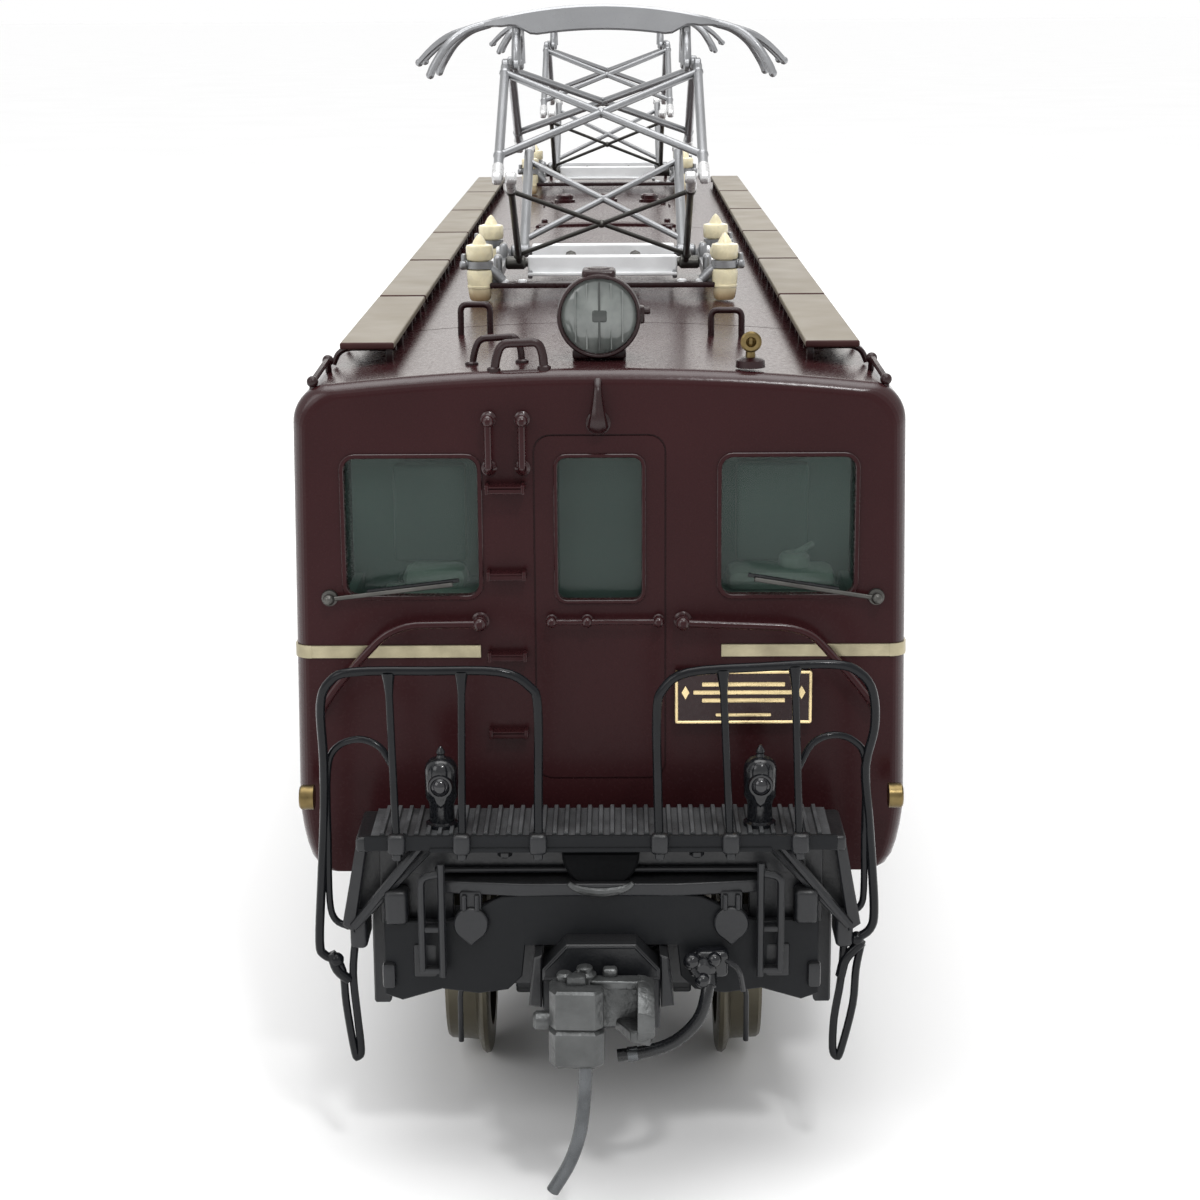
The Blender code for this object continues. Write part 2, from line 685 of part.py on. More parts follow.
def make_truck(end, truck):
    out = truck["out"]
    body = f"{end}_truck_body"
    pivot = truck["pivot"]
    add_body(body, (0, pivot, 17.4), "body")
    pieces = []
    cuts = []
    for side in (-1, 1):
        low, high = sorted((side * FRAME_IN, side * FRAME_OUT))
        pieces.append(prism(side_outline(truck), "X", low, high))
        for driver in truck["drivers"]:
            near, far = sorted((side * (FRAME_OUT - 0.2), side * 14.4))
            pieces.append(box((near, driver - 1.9, DRIVER_Z - 2.1), (far, driver + 1.9, DRIVER_Z + 2.1)))
            cuts.append(rod((side * (FRAME_IN - 1), driver, DRIVER_Z),
                            (side * (FRAME_OUT + 0.5), driver, DRIVER_Z), 1.15, 10))
    reach = FRAME_IN + 0.3
    inner_gap = (truck["drivers"][1] + truck["drivers"][2]) / 2
    inner_end = truck["drivers"][2] - 9.6 * out
    for y, half in ((pivot, 0.75), (inner_gap, 0.7), (inner_end, 0.5)):
        pieces.append(box((-reach, y - half, CROSS_LOW), (reach, y + half, CROSS_HIGH)))
    for side in (-1, 1):
        low, high = sorted((side * 2.6, side * 4.4))
        pieces.append(box((low, pivot - 0.75, CROSS_HIGH - 0.4), (high, pivot + 0.75, 18.0)))
    pieces.append(box((-4.4, pivot - 2.6, 17.3), (4.4, pivot + 2.6, 18.9)))
    cuts.append(rod((0, pivot, 16.5), (0, pivot, 20.0), 1.5, 12))

    motor_seat = truck["drivers"][0] + 10.4 * out
    pieces.append(box((-reach, motor_seat - 1.1, 8.8), (reach, motor_seat + 1.1, 11.1)))
    if end == "rear":
        pin_y, pin_top = PONY_PIVOT, 10.8
        front = -102.2
        mount_y = truck["frame_end"]
        pieces.append(box((-reach, mount_y, 10.6), (reach, mount_y + 1.6, 15.0)))
        for side in (-1, 1):
            low, high = sorted((side * FRAME_IN, side * FRAME_OUT))
            pieces.append(box((low + 0.1, mount_y + 0.1, 14), (high - 0.1, mount_y + 1.3, 18.25)))
    else:
        pin_y, pin_top = BOGIE_PIVOT, 11.9
        front = 104.0
        pieces.append(box((-reach, BOGIE_PIVOT - 1.6, 11.4), (reach, BOGIE_PIVOT + 1.6, 13.0)))
        for side in (-1, 1):
            low, high = sorted((side * 1.8, side * 3.2))
            pieces.append(box((low, BOGIE_PIVOT, 11.6), (high, 98.0, 13.6)))
    pieces.append(rod((0, pin_y, 7.2), (0, pin_y, pin_top), 0.8, 10))
    solid, hollow, pin = coupler_pocket(out, front)
    pieces.append(solid)
    cuts.append(hollow)
    frame = combine(pieces, cuts)
    add_part(f"{end}_truck_frame", combine([frame, pin]), "black_paint", body)


def make_pony():
    add_body("pony_truck_body", (0, PONY_PIVOT, 8.5), "rear_truck_body")
    z = CARRIER_Z
    y = PONY_AXLE
    pieces = [box((-1.8, y + 3.0, 7.6), (1.8, PONY_PIVOT + 1.8, 8.6)),
              box((-5.6, y + 2.6, 5.4), (5.6, y + 3.8, 8.6)),
              box((-5.6, y - 3.8, 5.4), (5.6, y - 2.6, 8.2))]
    cuts = [rod((0, PONY_PIVOT, 6), (0, PONY_PIVOT, 10), 1.1, 10),
            rod((-7, y, z), (7, y, z), AXLE_RADIUS + 0.25, 10)]
    for side in (-1, 1):
        low, high = sorted((side * 4.4, side * 5.6))
        pieces.append(box((low, y - 3.4, 5.0), (high, y + 3.4, 8.4)))
    add_part("pony_frame", combine(pieces, cuts), "black_paint", "pony_truck_body")
    make_wheelset("pony_wheelset", y, CARRIER_TREAD, WHEEL_FACE + 1.0, False, "pony_truck_body", 16)


def make_bogie():
    add_body("leading_bogie_body", (0, BOGIE_PIVOT, 8.5), "nose_truck_body")
    first, last = BOGIE_AXLES
    pieces = [box((-5.6, BOGIE_PIVOT - 2.4, 7.4), (5.6, BOGIE_PIVOT + 2.4, 8.8))]
    cuts = [rod((0, BOGIE_PIVOT, 6), (0, BOGIE_PIVOT, 11), 1.1, 10)]
    for side in (-1, 1):
        low, high = sorted((side * 4.4, side * 5.6))
        pieces.append(box((low, first - 3.0, 5.2), (high, last + 3.0, 8.4)))
    for y in BOGIE_AXLES:
        cuts.append(rod((-7, y, CARRIER_Z), (7, y, CARRIER_Z), AXLE_RADIUS + 0.25, 10))
    add_part("leading_bogie_frame", combine(pieces, cuts), "black_paint", "leading_bogie_body")
    for number, y in enumerate(BOGIE_AXLES, 1):
        make_wheelset(f"leading_wheelset_{number}", y, CARRIER_TREAD, WHEEL_FACE + 1.0, False,
                      "leading_bogie_body", 16)


# ---- ends: deck, pilots, railings, lamps ----

def make_deck():
    plate = box((-DECK_HALF, DECK_FRONT, DECK_TOP - 0.9), (DECK_HALF, DECK_BACK, DECK_TOP))
    beam = box((-11.6, -101.6, 18.6), (11.6, -100.4, DECK_TOP - 0.5))
    pieces = [plate, beam]
    for side in (-1, 1):
        low, high = sorted((side * 13.9, side * 12.3))
        pieces.append(box((low, -102.6, 19.6), (high, DECK_BACK - 0.2, DECK_TOP - 0.2)))
        pieces.append(box((side * 13.45 - 0.35, -101.9, 15.9), (side * 13.45 + 0.35, -99.2, 20.3)))
    add_part("rear_deck", combine(pieces), "black_paint", "rear_truck_body")


def make_rear_pilot():
    """Three-facet plate under the deck with a cut-out for the coupler and a top flange."""
    fold, edge = 4.4, 12.3
    front_mid, front_side = -102.9, -101.9
    thick = 0.6
    plan = [(-edge, front_side), (-fold, front_mid), (fold, front_mid), (edge, front_side),
            (edge, front_side + thick), (fold, front_mid + thick), (-fold, front_mid + thick),
            (-edge, front_side + thick)]
    plate = prism(plan, "Z", 11.2, 18.2)
    flange = box((-8.6, -102.6, 17.6), (8.6, -100.9, 18.3))
    opening = box((-4.3, -105, 8), (4.3, -100, 14.6))
    pieces = [plate, flange]
    for side in (-1, 1):
        low, high = sorted((side * 9.3, side * 10.7))
        pieces.append(box((low, -102.3, 12.6), (high, -99.0, 14.6)))
    add_part("rear_pilot", combine(pieces, [opening]), "black_paint", "rear_truck_body")


def make_nose_pilot():
    """Streamlined skirt around the front of the nose truck, open behind and below."""
    def plan(inset):
        points = []
        for u in (0.3, 0.5, 0.66, 0.79, 0.89, 0.96, 0.99):
            x = (SIDE_LOW_X - inset) * nose_narrow(u)
            points.append((x, NOSE_START + (NOSE_TIP - NOSE_START - inset) * u))
        return points + [(-x, y) for x, y in reversed(points)]

    outer = prism(plan(0.4), "Z", 4.2, 16.2)
    inner = prism(plan(1.1), "Z", 3.0, 17.2)
    behind = box((-20, 70, 3), (20, 81.6, 17.2))
    mouth = box((-3.9, 95, 9.6), (3.9, 106, 14.8))
    shell = combine([outer], [inner, behind, mouth])
    add_part("nose_pilot", shell, "maroon_paint", "nose_truck_body")


def make_railing(name, side):
    """Bent-wire end railing with its posts, outer leg, inner loop and step ladder."""
    y = -102.5
    post = 0.85 * RAIL_WIRE

    def wire(points):
        return sweep([(side * x, along, z) for x, along, z in points], RAIL_WIRE)

    pieces = [
        wire([(3.4, y, 21.7), (3.3, y, 26.0), (3.35, y, 28.6), (3.9, y, 30.2), (5.4, y, 30.9),
              (9.0, y, 30.95), (13.0, y, 30.8), (14.6, y + 0.3, 30.1), (15.5, y + 1.0, 28.3),
              (15.5, y + 1.6, 24.5), (15.65, y + 2.4, 18.4), (15.7, y + 2.8, 14.6),
              (15.2, y + 3.0, 13.2)]),
        rod((side * 7.6, y, 21.7), (side * 7.55, y, 30.95), post, 6),
        rod((side * 11.3, y, 21.7), (side * 11.5, y, 30.85), post, 6),
        wire([(11.4, y, 26.4), (12.4, y + 0.3, 27.2), (13.6, y + 0.8, 27.1), (14.7, y + 1.3, 25.6),
              (14.8, y + 1.9, 21.0), (14.9, y + 2.4, 17.4), (15.6, y + 2.7, 16.0)]),
        wire([(15.2, -101.3, 13.3), (14.9, -101.3, 10.0), (14.2, -101.2, 6.7), (14.2, -98.6, 6.7),
              (14.9, -98.5, 10.0), (15.2, -98.5, 13.3)]),
        rod((side * 15.2, -101.6, 13.15), (side * 15.2, -98.3, 13.15), post, 6),
        rod((side * 14.8, -101.35, 9.6), (side * 14.8, -98.5, 9.6), post, 6),
    ]
    add_part(name, combine(pieces), "black_paint", "rear_truck_body")


def make_tail_lamp(name, x):
    z = 23.5
    barrel = turned([(-101.6, 0.7), (-101.4, 0.9), (-99.9, 0.9), (-99.6, 0.5)], "Y", (x, 0, z), 12)
    stand = rod((x, -100.7, DECK_TOP + 0.3), (x, -100.7, z), 0.55)
    finial = turned([(z + 0.4, 0.55), (z + 1.2, 0.5), (z + 1.3, 0.25), (z + 1.8, 0.2)], "Z",
                    (x, -100.7, 0), 8)
    add_part(name, combine([barrel, stand, finial]), "black_paint", "rear_truck_body")


# ---- couplers and hose ----

def make_coupler(end, out):
    """Knuckle coupler: head with shank and guard arm, and a knuckle with its trip pin."""
    pivot_y = (COUPLER_FACE - 11.2) * out
    swing = f"{end}_coupler_body"
    add_body(swing, (0, pivot_y, COUPLER_HEIGHT), f"{end}_truck_body")
    face = COUPLER_FACE * out
    hand = out

    def plan(points):
        return [(-hand * x, face - out * back) for x, back in points]

    shank = prism(plan([(-1.1, 10.4), (1.1, 10.4), (1.1, 3.4), (-1.1, 3.4)]), "Z",
                  COUPLER_HEIGHT - 0.8, COUPLER_HEIGHT + 0.8)
    eye = rod((0, pivot_y, COUPLER_HEIGHT - 0.8), (0, pivot_y, COUPLER_HEIGHT + 0.8), 1.5, 14)
    head = prism(plan([(-1.5, 3.9), (1.7, 3.9), (2.9, 2.6), (3.1, 0.6), (2.3, 0.3), (1.9, 1.9),
                       (0.9, 2.9), (-1.5, 2.9)]), "Z", COUPLER_HEIGHT - 1.3, COUPLER_HEIGHT + 1.5)
    hole = rod((0, pivot_y, COUPLER_HEIGHT - 2), (0, pivot_y, COUPLER_HEIGHT + 2), 0.8, 10)
    body = combine([shank, eye, head], [hole])
    add_part(f"{end}_coupler_head", body, "grey_metal", swing)

    hinge = (-hand * -2.0, face - out * 2.0, COUPLER_HEIGHT)
    knuckle_body = f"{end}_knuckle_body"
    add_body(knuckle_body, hinge, swing)
    claw = prism(plan([(-2.9, 2.4), (-1.4, 2.5), (-1.2, 1.4), (0.1, 1.4), (0.3, 0.4), (-0.4, 0.0),
                       (-2.0, 0.0), (-2.9, 0.6)]), "Z", COUPLER_HEIGHT - 2.1, COUPLER_HEIGHT + 2.1)
    x = -hand
    pin = sweep(smooth_route([(x * -0.9, face - out * 0.7, 10.6), (x * -0.9, face - out * 0.7, 8.6),
                              (x * -1.2, face - out * 0.75, 5.6), (x * -2.4, face - out * 0.8, 2.4)], 4),
                0.38, 8)
    add_part(f"{end}_coupler_knuckle", combine([claw, pin]), "grey_metal", knuckle_body)


def make_air_hose():
    route = smooth_route([(6.1, -103.3, 13.6), (6.0, -104.3, 12.9), (5.5, -104.8, 11.2),
                          (4.2, -105.0, 9.9), (2.6, -105.0, 9.25), (0.9, -105.0, 9.0)], 4)
    valve = box((5.3, -103.8, 13.0), (7.0, -103.1, 14.6))
    add_part("rear_air_hose", combine([sweep(route, 0.36, 8), valve]), "black_plastic",
             "rear_truck_body")


def main():
    clear_scene()
    for slot in COLOURS:
        MATERIALS[slot] = make_material(slot)
    add_body("body", (0, 0, 0))
    make_body()
    make_cab("rear_cab_interior", -85.6, -1)
    make_cab("nose_cab_interior", 63.0, 1)
    make_floor()
    make_headlight()
    make_whistle()
    make_walkway("left_walkway", -1)
    make_walkway("right_walkway", 1)
    for end, centre_y in PANTOGRAPHS.items():
        make_pantograph(end, centre_y)
    for end, truck in TRUCKS.items():
        make_truck(end, truck)
        make_motor(end, truck)
        first = 1 if end == "rear" else 4
        for number, y in enumerate(truck["drivers"]):
            make_wheelset(f"drive_wheelset_{first + number}", y, DRIVER_TREAD, 13.6, True,
                          f"{end}_truck_body", 16)
        make_coupler(end, truck["out"])
    make_pony()
    make_bogie()
    make_deck()
    make_rear_pilot()
    make_nose_pilot()
    make_railing("left_railing", -1)
    make_railing("right_railing", 1)
    make_tail_lamp("left_tail_lamp", -9.1)
    make_tail_lamp("right_tail_lamp", 9.1)
    make_air_hose()
    bpy.context.view_layer.update()


main()
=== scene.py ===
"""Looks of a 1:80 model electric locomotive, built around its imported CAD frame.

Sizes are in millimetres in the frame's axes and turn into metres when a piece is made. X is across
the track, -Y the flat cab end, +Y the streamlined nose, Z = 0 lies under the wheel flanges.
"""
import json
import math

import bmesh
import bpy
from mathutils import Matrix, Vector


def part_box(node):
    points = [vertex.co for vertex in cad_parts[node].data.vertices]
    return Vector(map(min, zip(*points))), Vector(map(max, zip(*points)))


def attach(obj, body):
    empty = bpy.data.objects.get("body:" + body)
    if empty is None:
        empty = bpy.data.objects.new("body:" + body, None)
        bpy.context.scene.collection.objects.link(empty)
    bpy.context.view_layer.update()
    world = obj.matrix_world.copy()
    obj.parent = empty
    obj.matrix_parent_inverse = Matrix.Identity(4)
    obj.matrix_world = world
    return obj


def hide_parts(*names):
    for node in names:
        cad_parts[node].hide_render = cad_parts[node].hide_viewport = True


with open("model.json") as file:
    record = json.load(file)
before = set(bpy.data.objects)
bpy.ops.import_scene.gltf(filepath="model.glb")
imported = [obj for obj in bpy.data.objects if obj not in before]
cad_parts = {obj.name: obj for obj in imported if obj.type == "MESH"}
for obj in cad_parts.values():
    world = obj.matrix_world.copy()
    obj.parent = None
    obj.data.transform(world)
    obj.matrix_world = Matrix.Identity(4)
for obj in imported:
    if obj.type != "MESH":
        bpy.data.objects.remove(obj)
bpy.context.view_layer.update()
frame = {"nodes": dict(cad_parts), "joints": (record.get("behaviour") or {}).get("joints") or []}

MM = 0.001

# ---- driving dimensions, millimetres ----
FACE_Y = -96.0
NOSE_TIP = 103.0
NOSE_START = 72.0
SIDE_TOP_X = 17.4
SIDE_LOW_X = 17.8
BODY_BOTTOM = 16.7
ROOF_CROWN = 46.5
ROOF_RADIUS = 142.0
ROOF_CORNER = 2.2
FACE_ROUNDING = 0.9
SKIN = 0.8
ROOF_SEAMS = (-74.8, -2.5, 70.5)
HEADLIGHT_Z = 49.1
WORM_Z = 15.5
WELD_DISTANCE = 0.0015
WINDOW_LOW = 33.4
WINDOW_HIGH = 41.6
SIDE_WINDOW_LOW = 34.2
SIDE_WINDOW_HIGH = 41.0
BELT_LOW = 29.8
BELT_HIGH = 30.55
SIDE_LEAN = (SIDE_LOW_X - SIDE_TOP_X) / (ROOF_CROWN - ROOF_CORNER - BODY_BOTTOM)
SIDE_WINDOW_LEVEL = 37.6
SIDE_WINDOWS = ((-92.0, -84.5), (-71.0, -64.0), (-46.0, -39.0), (-21.0, -14.0),
                (4.0, 11.0), (29.0, 36.0), (54.0, 61.0), (66.5, 73.5))


def joint_place(name):
    """A joint's point at rest, millimetres."""
    for joint in frame["joints"]:
        if joint["name"] == name:
            return Vector(joint["pos_m"]) / MM
    raise ValueError(name)


def node_box(name):
    """Lowest and highest corner of a CAD node, millimetres."""
    low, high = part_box(name)
    return low / MM, high / MM


# ---- materials ----

BLOTCH_EDGES = (0.3, 0.7)


def socket_link(tree, source, target):
    tree.links.new(source, target)


def coordinates(tree, stretch=(1.0, 1.0, 1.0)):
    """Object coordinates, stretched per axis."""
    where = tree.nodes.new("ShaderNodeTexCoord")
    scale = tree.nodes.new("ShaderNodeMapping")
    scale.inputs["Scale"].default_value = stretch
    socket_link(tree, where.outputs["Object"], scale.inputs["Vector"])
    return scale.outputs["Vector"]


def noise(tree, size, detail=3.0, stretch=(1.0, 1.0, 1.0)):
    """Noise whose blotches are about size millimetres across."""
    made = tree.nodes.new("ShaderNodeTexNoise")
    made.inputs["Scale"].default_value = 1.0 / (size * MM)
    made.inputs["Detail"].default_value = detail
    socket_link(tree, coordinates(tree, stretch), made.inputs["Vector"])
    return made.outputs["Fac"]


def ramp(tree, value, low, high, to_low=0.0, to_high=1.0):
    """Map a value from low..high to to_low..to_high, clamped."""
    made = tree.nodes.new("ShaderNodeMapRange")
    for key, number in (("From Min", low), ("From Max", high), ("To Min", to_low), ("To Max", to_high)):
        made.inputs[key].default_value = number
    socket_link(tree, value, made.inputs["Value"])
    return made.outputs["Result"]


def calculate(tree, operation, first, second):
    made = tree.nodes.new("ShaderNodeMath")
    made.operation = operation
    made.use_clamp = True
    for index, value in enumerate((first, second)):
        if isinstance(value, (int, float)):
            made.inputs[index].default_value = value
        else:
            socket_link(tree, value, made.inputs[index])
    return made.outputs[0]


def blend_colours(tree, share, first, second):
    made = tree.nodes.new("ShaderNodeMix")
    made.data_type = "RGBA"
    socket_link(tree, share, made.inputs["Factor"])
    for key, colour in (("A", first), ("B", second)):
        target = [s for s in made.inputs if s.name == key and s.type == "RGBA"][0]
        if isinstance(colour, tuple):
            target.default_value = (*colour, 1.0)
        else:
            socket_link(tree, colour, target)
    return [s for s in made.outputs if s.type == "RGBA"][0]


def darker(colour, by):
    return tuple(channel * by for channel in colour)


def new_material(name):
    made = bpy.data.materials.new(name)
    made.use_nodes = True
    return made, made.node_tree, made.node_tree.nodes["Principled BSDF"]


def mottled(tree, size, detail, dark, light):
    """Blotches of two colours, size millimetres across: the share of the second one, and the colour."""
    share = ramp(tree, noise(tree, size, detail), *BLOTCH_EDGES)
    return share, blend_colours(tree, share, dark, light)


def roughness_from(tree, shader, share, low, high):
    socket_link(tree, ramp(tree, share, 0.0, 1.0, low, high), shader.inputs["Roughness"])


def bumped(tree, shader, height, strength, distance):
    """A fine bump, distance in millimetres; gives the bent normal for use elsewhere."""
    bump = tree.nodes.new("ShaderNodeBump")
    bump.inputs["Strength"].default_value = strength
    bump.inputs["Distance"].default_value = distance * MM
    socket_link(tree, height, bump.inputs["Height"])
    socket_link(tree, bump.outputs["Normal"], shader.inputs["Normal"])
    return bump.outputs["Normal"]


def direction_parts(tree, source, output):
    """X, Y and Z outputs of a vector that a new source node gives."""
    facing = tree.nodes.new(source)
    parts = tree.nodes.new("ShaderNodeSeparateXYZ")
    socket_link(tree, facing.outputs[output], parts.inputs["Vector"])
    return parts.outputs


def upward(tree):
    """0 on walls and undersides, rising to 1 on surfaces that face up."""
    return ramp(tree, direction_parts(tree, "ShaderNodeNewGeometry", "Normal")["Z"], 0.2, 0.95)


def finish(name, colour, roughness, metallic=0.0, ior=1.45, variation=0.12, blotch=6.0,
           grain=0.12, grain_size=0.25, rough_spread=0.08, dust=None, dust_share=0.0,
           stretch=(1.0, 1.0, 1.0), painted_corner_shade=0.0):
    """A painted or metal surface: blotchy colour, grain in the gloss and a fine bump.

    dust settles on surfaces that face up, and painted shade darkens corners and creases where ambient
    occlusion finds them.
    """
    made, tree, shader = new_material(name)
    shader.inputs["Metallic"].default_value = metallic
    shader.inputs["IOR"].default_value = ior
    wide = noise(tree, blotch, 4.0)
    share = ramp(tree, wide, *BLOTCH_EDGES)
    shown = blend_colours(tree, share, darker(colour, 1 - variation), darker(colour, 1 + variation))
    fine = noise(tree, grain_size, 3.0, stretch)
    if dust:
        cover = calculate(tree, "MULTIPLY", upward(tree), ramp(tree, wide, 0.35, 0.75, 0.3, 1.0))
        shown = blend_colours(tree, calculate(tree, "MULTIPLY", cover, dust_share), shown, dust)
    # Painted shade: ambient occlusion blends corners and creases towards a darker copy of the colour.
    if painted_corner_shade:
        shade = tree.nodes.new("ShaderNodeAmbientOcclusion")
        shade.inputs["Distance"].default_value = 1.2 * MM
        shade.samples = 6
        painted_shade_share = ramp(tree, shade.outputs["AO"], 0.35, 0.95, painted_corner_shade, 0.0)
        shown = blend_colours(tree, painted_shade_share, shown, darker(colour, 0.35))
    socket_link(tree, shown, shader.inputs["Base Color"])
    gloss = ramp(tree, fine, 0.25, 0.75, max(roughness - rough_spread, 0.03), roughness + rough_spread)
    socket_link(tree, gloss, shader.inputs["Roughness"])
    bumped(tree, shader, fine, grain, grain_size * 0.25)
    return made


def body_paint(name, colour):
    """Semi-gloss sprayed paint; the rounded edges have a coarser grain and a clear coat."""
    made, tree, shader = new_material(name)
    shader.inputs["IOR"].default_value = 1.2
    _, shown = mottled(tree, 9.0, 5.0, darker(colour, 0.88), darker(colour, 1.1))
    socket_link(tree, shown, shader.inputs["Base Color"])
    facing = direction_parts(tree, "ShaderNodeNewGeometry", "True Normal")
    flat = None
    for axis in "XYZ":
        size = tree.nodes.new("ShaderNodeMath")
        size.operation = "ABSOLUTE"
        socket_link(tree, facing[axis], size.inputs[0])
        flat = size.outputs[0] if flat is None else calculate(tree, "MAXIMUM", flat, size.outputs[0])
    rounded = ramp(tree, flat, 0.82, 0.985, 1.0, 0.0)
    fine = noise(tree, 0.22, 2.0)
    coarse = noise(tree, 0.5, 4.0)
    height = calculate(tree, "MULTIPLY", coarse, ramp(tree, rounded, 0.0, 1.0, 0.06, 1.0))
    socket_link(tree, ramp(tree, fine, 0.3, 0.7, 0.2, 0.3), shader.inputs["Roughness"])
    normal = bumped(tree, shader, height, 0.3, 0.05)
    socket_link(tree, normal, shader.inputs["Coat Normal"])
    socket_link(tree, rounded, shader.inputs["Coat Weight"])
    shader.inputs["Coat Roughness"].default_value = 0.2
    shader.inputs["Coat IOR"].default_value = 1.42
    return made


def glazing_material(name, colour, cover):
    """Thin clear sheet: mostly see-through, with a tint and a smooth gloss."""
    made, tree, shader = new_material(name)
    share, shown = mottled(tree, 5.0, 3.0, darker(colour, 0.85), darker(colour, 1.15))
    socket_link(tree, shown, shader.inputs["Base Color"])
    roughness_from(tree, shader, share, 0.04, 0.1)
    shader.inputs["Alpha"].default_value = cover
    return made


def lens_material(name):
    """Headlight glass: grey-green and faintly moulded."""
    made, tree, shader = new_material(name)
    share, shown = mottled(tree, 1.4, 5.0, (0.10, 0.112, 0.106), (0.19, 0.205, 0.195))
    socket_link(tree, shown, shader.inputs["Base Color"])
    roughness_from(tree, shader, share, 0.08, 0.2)
    shader.inputs["Coat Weight"].default_value = 0.6
    bumped(tree, shader, noise(tree, 0.5, 3.0), 0.25, 0.05)
    return made


def board_paint_with_painted_reflection(name):
    """Matt maroon board paint with a painted tan reflection where it is seen along its surface."""
    made, tree, shader = new_material(name)
    share, shown = mottled(tree, 4.0, 4.0, (0.034, 0.012, 0.012), (0.052, 0.021, 0.02))
    # Painted reflection: at grazing view angles the colour turns tan, standing in for the sky reflected along
    # the boards.
    weight = tree.nodes.new("ShaderNodeLayerWeight")
    weight.inputs["Blend"].default_value = 0.5
    along = ramp(tree, weight.outputs["Facing"], 0.52, 0.86)
    shown = blend_colours(tree, along, shown, (0.175, 0.15, 0.113))
    socket_link(tree, shown, shader.inputs["Base Color"])
    roughness_from(tree, shader, share, 0.38, 0.48)
    shader.inputs["IOR"].default_value = 1.22
    return made


def insulator_material(name, foot_z):
    """Cream glazed ceramic with a brownish stain towards its foot."""
    made, tree, shader = new_material(name)
    cream = (0.84, 0.76, 0.52)
    share, shown = mottled(tree, 0.9, 4.0, darker(cream, 0.86), darker(cream, 1.1))
    height = direction_parts(tree, "ShaderNodeTexCoord", "Object")["Z"]
    stain = ramp(tree, height, foot_z * MM, (foot_z + 0.9) * MM, 0.75, 0.0)
    shown = blend_colours(tree, stain, shown, (0.42, 0.25, 0.11))
    socket_link(tree, shown, shader.inputs["Base Color"])
    roughness_from(tree, shader, share, 0.2, 0.34)
    shader.inputs["Coat Weight"].default_value = 0.3
    shader.inputs["Subsurface Weight"].default_value = 0.08
    shader.inputs["Subsurface Radius"].default_value = (0.001, 0.0008, 0.0005)
    return made


MAROON = (0.0275, 0.0077, 0.0088)
BLACK = (0.0085, 0.0092, 0.011)
DUST = (0.11, 0.10, 0.085)

